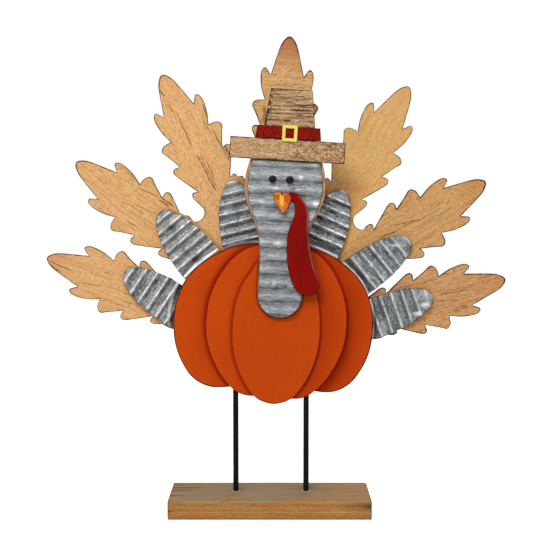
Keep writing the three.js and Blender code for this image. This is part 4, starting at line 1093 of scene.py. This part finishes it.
def makeBeak():
    # Height falls evenly to both sides of the crease, which is eased; each upper lobe is cupped a little
    points, _ = mergedNode("beak")
    flat, loop, front, back = frontOutline("beak", 6 * mm)
    ridge = points[points[:, 1] < front + 0.01 * mm][:, [0, 2]]
    top, foot = ridge[ridge[:, 1].argmax()], ridge[ridge[:, 1].argmin()]
    along = (top - foot) / np.linalg.norm(top - foot)
    across = np.array([along[1], -along[0]])
    off = np.abs((points[:, [0, 2]] - top) @ across)
    roof = (off > 1 * mm) & (points[:, 1] < back - 0.5 * mm)
    slope = np.median((points[roof, 1] - front) / off[roof])
    outline = smoothed(flat, loop, beak["edgeStep"] * mm, 50)
    turn = np.degrees(np.arctan2(along[0], along[1]))
    inner = gridInside(*outline, turn, beak["step"] * mm, beak["step"] * mm)

    def frontAt(flatPoints):
        side = (flatPoints - top) @ across
        down = (top - flatPoints) @ along
        fall = np.sqrt(side**2 + (beak["crease"] * mm) ** 2) - beak["crease"] * mm
        cupSide = (np.abs(side) - beak["cupReach"] * mm) / (beak["cupWide"] * mm)
        cupDown = (down - beak["cupRise"] * mm) / (beak["cupHigh"] * mm)
        return front + slope * fall + beak["cupDepth"] * mm * np.exp(-(cupSide**2) - cupDown**2)

    points, faces, rim = solidBetween(
        outline, frontAt, lambda flatPoints: np.full(len(flatPoints), back), inner, beak["rounding"] * mm
    )
    side = (points[:, [0, 2]] - top) @ across
    down = (top - points[:, [0, 2]]) @ along
    attributes = {"grain": grainOf(points, turn, 79), "rim": rim}
    for key, (offSide, offDown, wide, high, strength) in beak["patches"].items():
        reach = ((side / mm - offSide) / wide) ** 2 + ((down / mm - offDown) / high) ** 2
        ragged = 1 + 0.7 * roughness(side, down, 1.4 * mm, 1.8 * mm, 46)
        attributes[key] = strength * eased(np.exp(-(reach * ragged)), 0, beak["patchEdge"])
    dressNode("beak", "folded_beak", points, faces, materials["beak_paint"], attributes, 60)


makeBeak()


# Turned pieces: eyes, nails, screws, rods and the glue round the rods' feet

def woven(rows, columns):
    # The quads between the rows of a grid of points, each row of which closes on itself
    i, j = np.meshgrid(np.arange(rows) * columns, np.arange(columns), indexing="ij")
    k, above = (j + 1) % columns, i + columns
    return np.stack([i + j, i + k, above + k, above + j], -1).reshape(-1, 4)


def turnedSurface(radii, heights, steps):
    # A profile of radii and heights turned about Z, with a single point at each end where the radius is 0
    angles = np.arange(steps) / steps * 2 * pi
    out, up = radii[:, None], np.repeat(heights[:, None], steps, 1)
    points = np.stack([out * np.cos(angles), out * np.sin(angles), up], 2).reshape(-1, 3)
    return points, woven(len(radii) - 1, steps)


def closedMesh(points, quads):
    # Merges the points that fall together at the poles and drops the edges that vanish there
    work = bmesh.new()
    mesh = bpy.data.meshes.new("turned")
    mesh.from_pydata(points.tolist(), [], quads.tolist())
    work.from_mesh(mesh)
    bmesh.ops.remove_doubles(work, verts=work.verts, dist=0.001 * mm)
    bmesh.ops.dissolve_degenerate(work, edges=work.edges, dist=0.0005 * mm)
    bmesh.ops.recalc_face_normals(work, faces=work.faces)
    work.to_mesh(mesh)
    work.free()
    merged = np.empty(len(mesh.vertices) * 3)
    mesh.vertices.foreach_get("co", merged)
    faces = [list(face.vertices) for face in mesh.polygons]
    bpy.data.meshes.remove(mesh)
    return merged.reshape(-1, 3), faces


tacks = {
    "eyeSteps": 40, "nailSteps": 24, "domeSteps": 9, "domeShare": 0.72, "rimShare": 0.18, "shankShare": 0.25,
}


def makeTack(node, name, steps, material, dull):
    # A low dome over a short rim and a shank, facing the front; dull is how far its steel has greyed
    low, high = (np.array(corner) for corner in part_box(node))
    radius = (high[0] - low[0]) / 2
    depth = high[1] - low[1]
    dome = min(0.7 * radius, 0.3 * depth) * tacks["domeShare"] + 0.3 * mm
    t = np.linspace(0, pi / 2, tacks["domeSteps"])
    rim, shank = tacks["rimShare"] * dome, tacks["shankShare"] * radius
    radii = np.r_[radius * np.sin(t), radius, shank, shank, 0]
    heights = np.r_[(dome - rim) * np.cos(t) + rim, 0, 0, dome - depth, dome - depth]
    points, quads = turnedSurface(radii, heights, steps)
    points, faces = closedMesh(points, quads)
    placed = np.stack([points[:, 0] + (low[0] + high[0]) / 2, low[1] + dome - points[:, 2],
                       points[:, 1] + (low[2] + high[2]) / 2], 1)
    dressNode(node, name, placed, faces, material, plainDress(placed, 5, dull), 60)


for side, dull in (("left", 0.35), ("right", 0.6)):
    makeTack(f"eye_{side}", f"eye_tack_{side}", tacks["eyeSteps"], materials["black_enamel"], 0)
    makeTack(f"neck_nail_{side}", f"nail_{side}", tacks["nailSteps"], materials["screw_steel"], dull)

screws = {
    "steps": 64, "headSteps": 26, "headHeight": 2.2, "headFall": 0.45, "shankRadius": 1.5,
    "crossWidth": 0.55, "crossReach": 2.3, "crossDepth": 1.1,
}


def makeScrew(number):
    # A domed head with a cross cut into it, facing the back, on a plain shank
    low, high = (np.array(corner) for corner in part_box(f"tail_screw_{number}"))
    radius, depth = (high[0] - low[0]) / 2, high[1] - low[1]
    headHeight, shank = screws["headHeight"] * mm, screws["shankRadius"] * mm
    t = np.linspace(0, 1, screws["headSteps"])
    radii = np.r_[radius * t, radius, shank, shank, 0]
    dome = depth - screws["headFall"] * headHeight * t**3
    heights = np.r_[dome, depth - headHeight, depth - headHeight, 0, 0]
    points, quads = turnedSurface(radii, heights, screws["steps"])
    x, y = np.abs(points[:, 0]), np.abs(points[:, 1])
    onHead = points[:, 2] > depth - 0.5 * headHeight
    near, far = np.minimum(x, y), np.maximum(x, y)
    width, reach = screws["crossWidth"] * mm, screws["crossReach"] * mm
    cut = (1 - eased(near, 0.6 * width, width)) * (1 - eased(far, 0.8 * reach, reach))
    points[:, 2] -= np.where(onHead, cut * screws["crossDepth"] * mm, 0)
    placed = np.stack([-points[:, 0] + (low[0] + high[0]) / 2, low[1] + points[:, 2],
                       points[:, 1] + (low[2] + high[2]) / 2], 1)
    placed, faces = closedMesh(placed, quads)
    dress, steel = plainDress(placed, 6), materials["screw_steel"]
    dressNode(f"tail_screw_{number}", f"cross_screw_{number}", placed, faces, steel, dress, 40)


for number in (1, 2, 3, 4):
    makeScrew(number)


rods = {
    "steps": 48, "rings": 40, "bevel": 0.3, "uneven": 0.05,
    "glueRadius": 1.3, "glueRise": 0.5, "glueSteps": 64, "glueSection": 10,
}
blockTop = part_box("base_block")[1].z


def makeRod(side):
    # A circle carried up the rod, a hair thinner here and there, with a small bevel at each end
    low, high = (np.array(corner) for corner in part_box(f"leg_rod_{side}"))
    radius, bevel = (high[0] - low[0]) / 2, rods["bevel"] * mm
    run = np.linspace(low[2] + bevel, high[2] - bevel, rods["rings"])
    thin = rods["uneven"] * mm * (0.5 + roughness(run, run * 0, 9 * mm, 1, 90))
    radii = np.r_[0, radius - bevel, radius - thin, radius - bevel, 0]
    heights = np.r_[low[2], low[2], run, high[2], high[2]]
    points, quads = turnedSurface(radii, heights, rods["steps"])
    points, faces = closedMesh(points, quads)
    centre = (low[:2] + high[:2]) / 2
    placed = points + [*centre, 0]
    dressNode(f"leg_rod_{side}", f"rod_{side}", placed, faces, materials["black_rod"], plainDress(placed, 7))
    return centre, radius


def makeGlue(side, centre, radius):
    # A low ring whose section is half a circle, a little wider and higher at some places than others
    ring, section = rods["glueSteps"], rods["glueSection"]
    turn, across = np.meshgrid(np.arange(ring) / ring * 2 * pi, np.linspace(0, pi, section), indexing="ij")
    swell = 1 + 0.5 * roughness(turn, turn * 0 + (3 if side == "left" else 8), 0.8, 1, 91)
    swell = 1 + (swell - 1) * np.sin(turn / 2)
    out = radius + 0.1 * mm + rods["glueRadius"] * mm * swell * (1 + np.cos(across)) / 2
    up = blockTop + 0.01 * mm + rods["glueRise"] * mm * swell * np.sin(across)
    points = np.stack([out * np.cos(turn) + centre[0], out * np.sin(turn) + centre[1], up], 2).reshape(-1, 3)
    quads = woven(ring, section) % len(points)
    points, faces = closedMesh(points, quads)
    glue = addPiece(f"glue_ring_{side}", points, faces, materials["glue"], "root", plainDress(points, 8))


for side in ("left", "right"):
    makeGlue(side, *makeRod(side))
print("turned pieces made")


# Base block

block = {
    "edge": 0.9, "edgeSteps": 4, "step": 0.8, "grainDepth": 0.12, "crackDepth": 0.8, "crackWidth": 0.35,
    "crackDarkWidth": 1.5, "greyTop": 0.75,
    # Each crack's place across, its length and its depth as a share
    "cracks": ((13.5, 40, 1.0), (5, 26, 1.0), (-14, 16, 0.8), (24, 20, 0.7)),
    # Golden strokes as strength, height, width and seed, the highest a painted highlight along the front's
    # top edge;
    # stains as strength, their middle and half their size
    "goldAndHighlightStrokes": ((0.75, 15.9, 0.7, 101), (0.6, 6.6, 0.6, 103), (0.35, 10.5, 1.0, 105)),
    "knot": ((0.75, 90, 12, 9, 3.6), (0.3, 72, 13, 10, 2.0)),
    "frontStain": (0.9, -90, 7.6, 4, 0.8),
    "topStains": ((0.3, 34, 12, 20, 7), (0.35, -30, 4, 8, 5)),
}


def blockSection(halfDepth, height, corner):
    # Once round the block: a quarter circle at each edge, with straight runs between
    edge = block["edge"] * mm
    stepsY = np.linspace(-halfDepth + edge, halfDepth - edge, ceil(2 * halfDepth / mm / block["step"]))[1:-1]
    stepsZ = np.linspace(edge, height - edge, ceil(height / mm / block["step"]))[1:-1]
    c, s = edge * np.cos(corner), edge * np.sin(corner)
    return np.vstack([
        np.c_[halfDepth - edge + s, edge - c],
        np.c_[np.full(len(stepsZ), halfDepth), stepsZ],
        np.c_[halfDepth - edge + c, height - edge + s],
        np.c_[stepsY[::-1], np.full(len(stepsY), height)],
        np.c_[-halfDepth + edge - s, height - edge + c],
        np.c_[np.full(len(stepsZ), -halfDepth), stepsZ[::-1]],
        np.c_[-halfDepth + edge - c, edge - s],
        np.c_[stepsY, np.zeros(len(stepsY))],
    ])


def stain(x, other, strength, middleX, middleOther, wide, high):
    # A soft spot on one of the block's faces
    return strength * np.exp(-(((x / mm - middleX) / wide) ** 2) - (((other / mm - middleOther) / high) ** 2))


def stroke(x, z, strength, level, wide, seed):
    # A ragged stroke along the block's front, near a height
    ragged = 0.55 + roughness(x, z, 16 * mm, 1.2 * mm, seed)
    wave = 0.5 * roughness(x, x * 0, 30 * mm, 1, seed + 1)
    return strength * np.exp(-(((z / mm - level - wave) / wide) ** 2)) * np.clip(ragged, 0, 1)


def blockColours(x, y, z, onTop, onFront, darkAlongCracks):
    # How grey, how golden and how stained the wood is at each point. The golden strokes hold a painted
    # highlight along the front's top edge, and the stains a painted shadow along the front's foot
    grey = onTop * block["greyTop"] * (0.75 + 0.9 * roughness(x, y, 34 * mm, 9 * mm, 97))
    grey = grey * (1 - 0.45 * eased(x, 25 * mm, 75 * mm))
    goldAndHighlight = onFront * np.max([stroke(x, z, *one) for one in block["goldAndHighlightStrokes"]], 0)
    knot = sum(stain(x, z, *one) for one in block["knot"])
    onFace = np.maximum(knot, stain(x, z, *block["frontStain"]))
    above = np.max([stain(x, y, *one) for one in block["topStains"]], 0)
    ends = 1 - eased(np.minimum(x - x.min(), x.max() - x), 0.2 * mm, 1.3 * mm)
    fleck = 0.5 + roughness(x, z + y, 1.5 * mm, 1.2 * mm, 107)
    # Painted shadow along the foot of the front
    low = 0.6 * (1 - eased(z, 0.4 * mm, 1.5 * mm))
    dark = np.maximum.reduce([
        0.8 * ends * eased(fleck, 0.2, 0.6), onFront * onFace, onFront * low, onTop * above,
        0.95 * onTop * darkAlongCracks,
    ])
    return {"mark": np.clip(grey, 0, 1).ravel(), "goldAndHighlight": goldAndHighlight.ravel(), "stain": np.clip(dark, 0, 1).ravel()}


def makeBlock():
    # A section with rounded corners carried along X, its grain pressed in, with the ends rounded over.
    # Cracks run in from the left end along the top.
    low, high = (np.array(corner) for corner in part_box("base_block"))
    edge = block["edge"] * mm
    halfDepth, height = (high[1] - low[1]) / 2, high[2] - low[2]
    corner = np.linspace(0, pi / 2, block["edgeSteps"] + 1)
    section = blockSection(halfDepth, height, corner)
    run = np.linspace(low[0] + edge, high[0] - edge, ceil((high[0] - low[0]) / mm / block["step"]))
    over, ends = edge * np.sin(corner), edge * (1 - np.cos(corner))
    x = np.r_[(low[0] + edge - over)[::-1], run[1:-1], high[0] - edge + over]
    inset = np.r_[ends[::-1], np.zeros(len(run) - 2), ends]
    middle = np.array([0, height / 2])
    reach = np.maximum(np.abs(section - middle) - inset[:, None, None], 0)
    flat = middle + np.sign(section - middle) * reach
    gridX = np.repeat(x[:, None], len(section), 1)
    y, z = flat[..., 0], flat[..., 1]
    onTop = eased(z, height - 0.4 * edge, height - 0.05 * edge)
    wander = 2.5 * mm * roughness(gridX, gridX * 0, 14 * mm, 1, 95)
    cracks, darkAlongCracks = np.zeros_like(y), np.zeros_like(y)
    for place, length, deep in block["cracks"]:
        fade = deep * (1 - eased(gridX - low[0], 0.4 * length * mm, length * mm))
        off = (y - place * mm - wander) / mm
        cracks = np.maximum(cracks, fade * np.exp(-((off / block["crackWidth"]) ** 2)))
        # Darker along each crack, wider than the crack itself
        darkAlongCracks = np.maximum(darkAlongCracks, fade * np.exp(-((off / block["crackDarkWidth"]) ** 2)))
    pressed = block["grainDepth"] * mm * (0.5 + roughness(gridX, y + z, 26 * mm, 0.9 * mm, 96))
    z = z - onTop * (cracks * block["crackDepth"] * mm + pressed)
    onFront = eased(-y, halfDepth - 0.4 * edge, halfDepth - 0.05 * edge)
    y = y + onFront * pressed
    points = np.stack([gridX, y, z], 2).reshape(-1, 3)
    n, m = len(x), len(section)
    faces = woven(n - 1, m).tolist() + [list(range(m))[::-1], [(n - 1) * m + q for q in range(m)]]
    attributes = {
        "grain": grainOf(points, 90, 98), "rim": np.full(len(points), 3 * mm),
        **blockColours(gridX, y, z, onTop, onFront, darkAlongCracks),
    }
    dressNode("base_block", "standing_block", points, faces, materials["base_wood"], attributes, 60)


makeBlock()
print("block made")


# Camera, lights, floor and background

view = {"lens": 76.23, "place": (0.00516, -1.048, 0.2905), "tilt": 0.0723}
lamps = {
    "key": {"place": (-0.38, -1.25, 1.2), "size": 0.7, "power": 17.2},
    "top": {"place": (0.0, -0.25, 1.35), "size": 1.1, "power": 3},
    "fill": {"place": (0.95, -1.2, 0.55), "size": 1.0, "power": 1.5},
    "rear": {"place": (0.7, 1.3, 0.6), "size": 1.2, "power": 6},
}
room = {"skyLight": 0.34, "floorColor": 0.82, "floorGlow": 0.74, "floorSize": 8.0}


def aimedLamp(name, lamp):
    data = bpy.data.lights.new(name, "AREA")
    data.size, data.energy = lamp["size"], lamp["power"]
    made = bpy.data.objects.new(name, data)
    made.location = lamp["place"]
    made.rotation_euler = (Vector((0, 0, 0.22)) - made.location).to_track_quat("-Z", "Y").to_euler()
    bpy.context.scene.collection.objects.link(made)


def seenDirectly(tree):
    path = put(tree, "ShaderNodeLightPath", {})
    seen = figure(tree, "MAXIMUM", path.outputs["Is Camera Ray"], path.outputs["Is Glossy Ray"])
    return figure(tree, "MAXIMUM", seen, path.outputs["Is Transmission Ray"])


def makeRoom():
    scene = bpy.context.scene
    scene.world = bpy.data.worlds.new("studio")
    tree = emptyTree(scene.world)
    light = put(tree, "ShaderNodeBackground", {"Color": (1, 1, 1, 1), "Strength": room["skyLight"]})
    white = put(tree, "ShaderNodeBackground", {"Color": (1, 1, 1, 1), "Strength": 1.0})
    sides = {1: light.outputs[0], 2: white.outputs[0]}
    mixed = put(tree, "ShaderNodeMixShader", {0: seenDirectly(tree), **sides})
    put(tree, "ShaderNodeOutputWorld", {0: mixed.outputs[0]})
    half = room["floorSize"] / 2
    mesh = bpy.data.meshes.new("floor")
    corners = [(-half, -half, 0), (half, -half, 0), (half, half, 0), (-half, half, 0)]
    mesh.from_pydata(corners, [], [(0, 1, 2, 3)])
    floor = bpy.data.objects.new("floor", mesh)
    scene.collection.objects.link(floor)
    material = bpy.data.materials.new("paleFloor")
    tree = emptyTree(material)
    pale = (*[room["floorColor"]] * 3, 1)
    matte = put(tree, "ShaderNodeBsdfDiffuse", {"Color": pale})
    glow = put(tree, "ShaderNodeEmission", {"Color": (1, 1, 1, 1), "Strength": room["floorGlow"]})
    both = put(tree, "ShaderNodeAddShader", {0: matte.outputs[0], 1: glow.outputs[0]})
    mixed = put(tree, "ShaderNodeMixShader", {0: seenDirectly(tree), 1: matte.outputs[0], 2: both.outputs[0]})
    put(tree, "ShaderNodeOutputMaterial", {0: mixed.outputs[0]})
    mesh.materials.append(material)


for name, lamp in lamps.items():
    aimedLamp(f"{name}Lamp", lamp)
makeRoom()
cameraData = bpy.data.cameras.new("camera")
cameraData.lens, cameraData.sensor_width = view["lens"], 36
camera = bpy.data.objects.new("camera", cameraData)
camera.location = view["place"]
camera.rotation_euler = (pi / 2 - view["tilt"], 0, 0)
bpy.context.scene.collection.objects.link(camera)
bpy.context.scene.camera = camera
bpy.context.scene.view_settings.view_transform = "Standard"
print("camera and lights made")
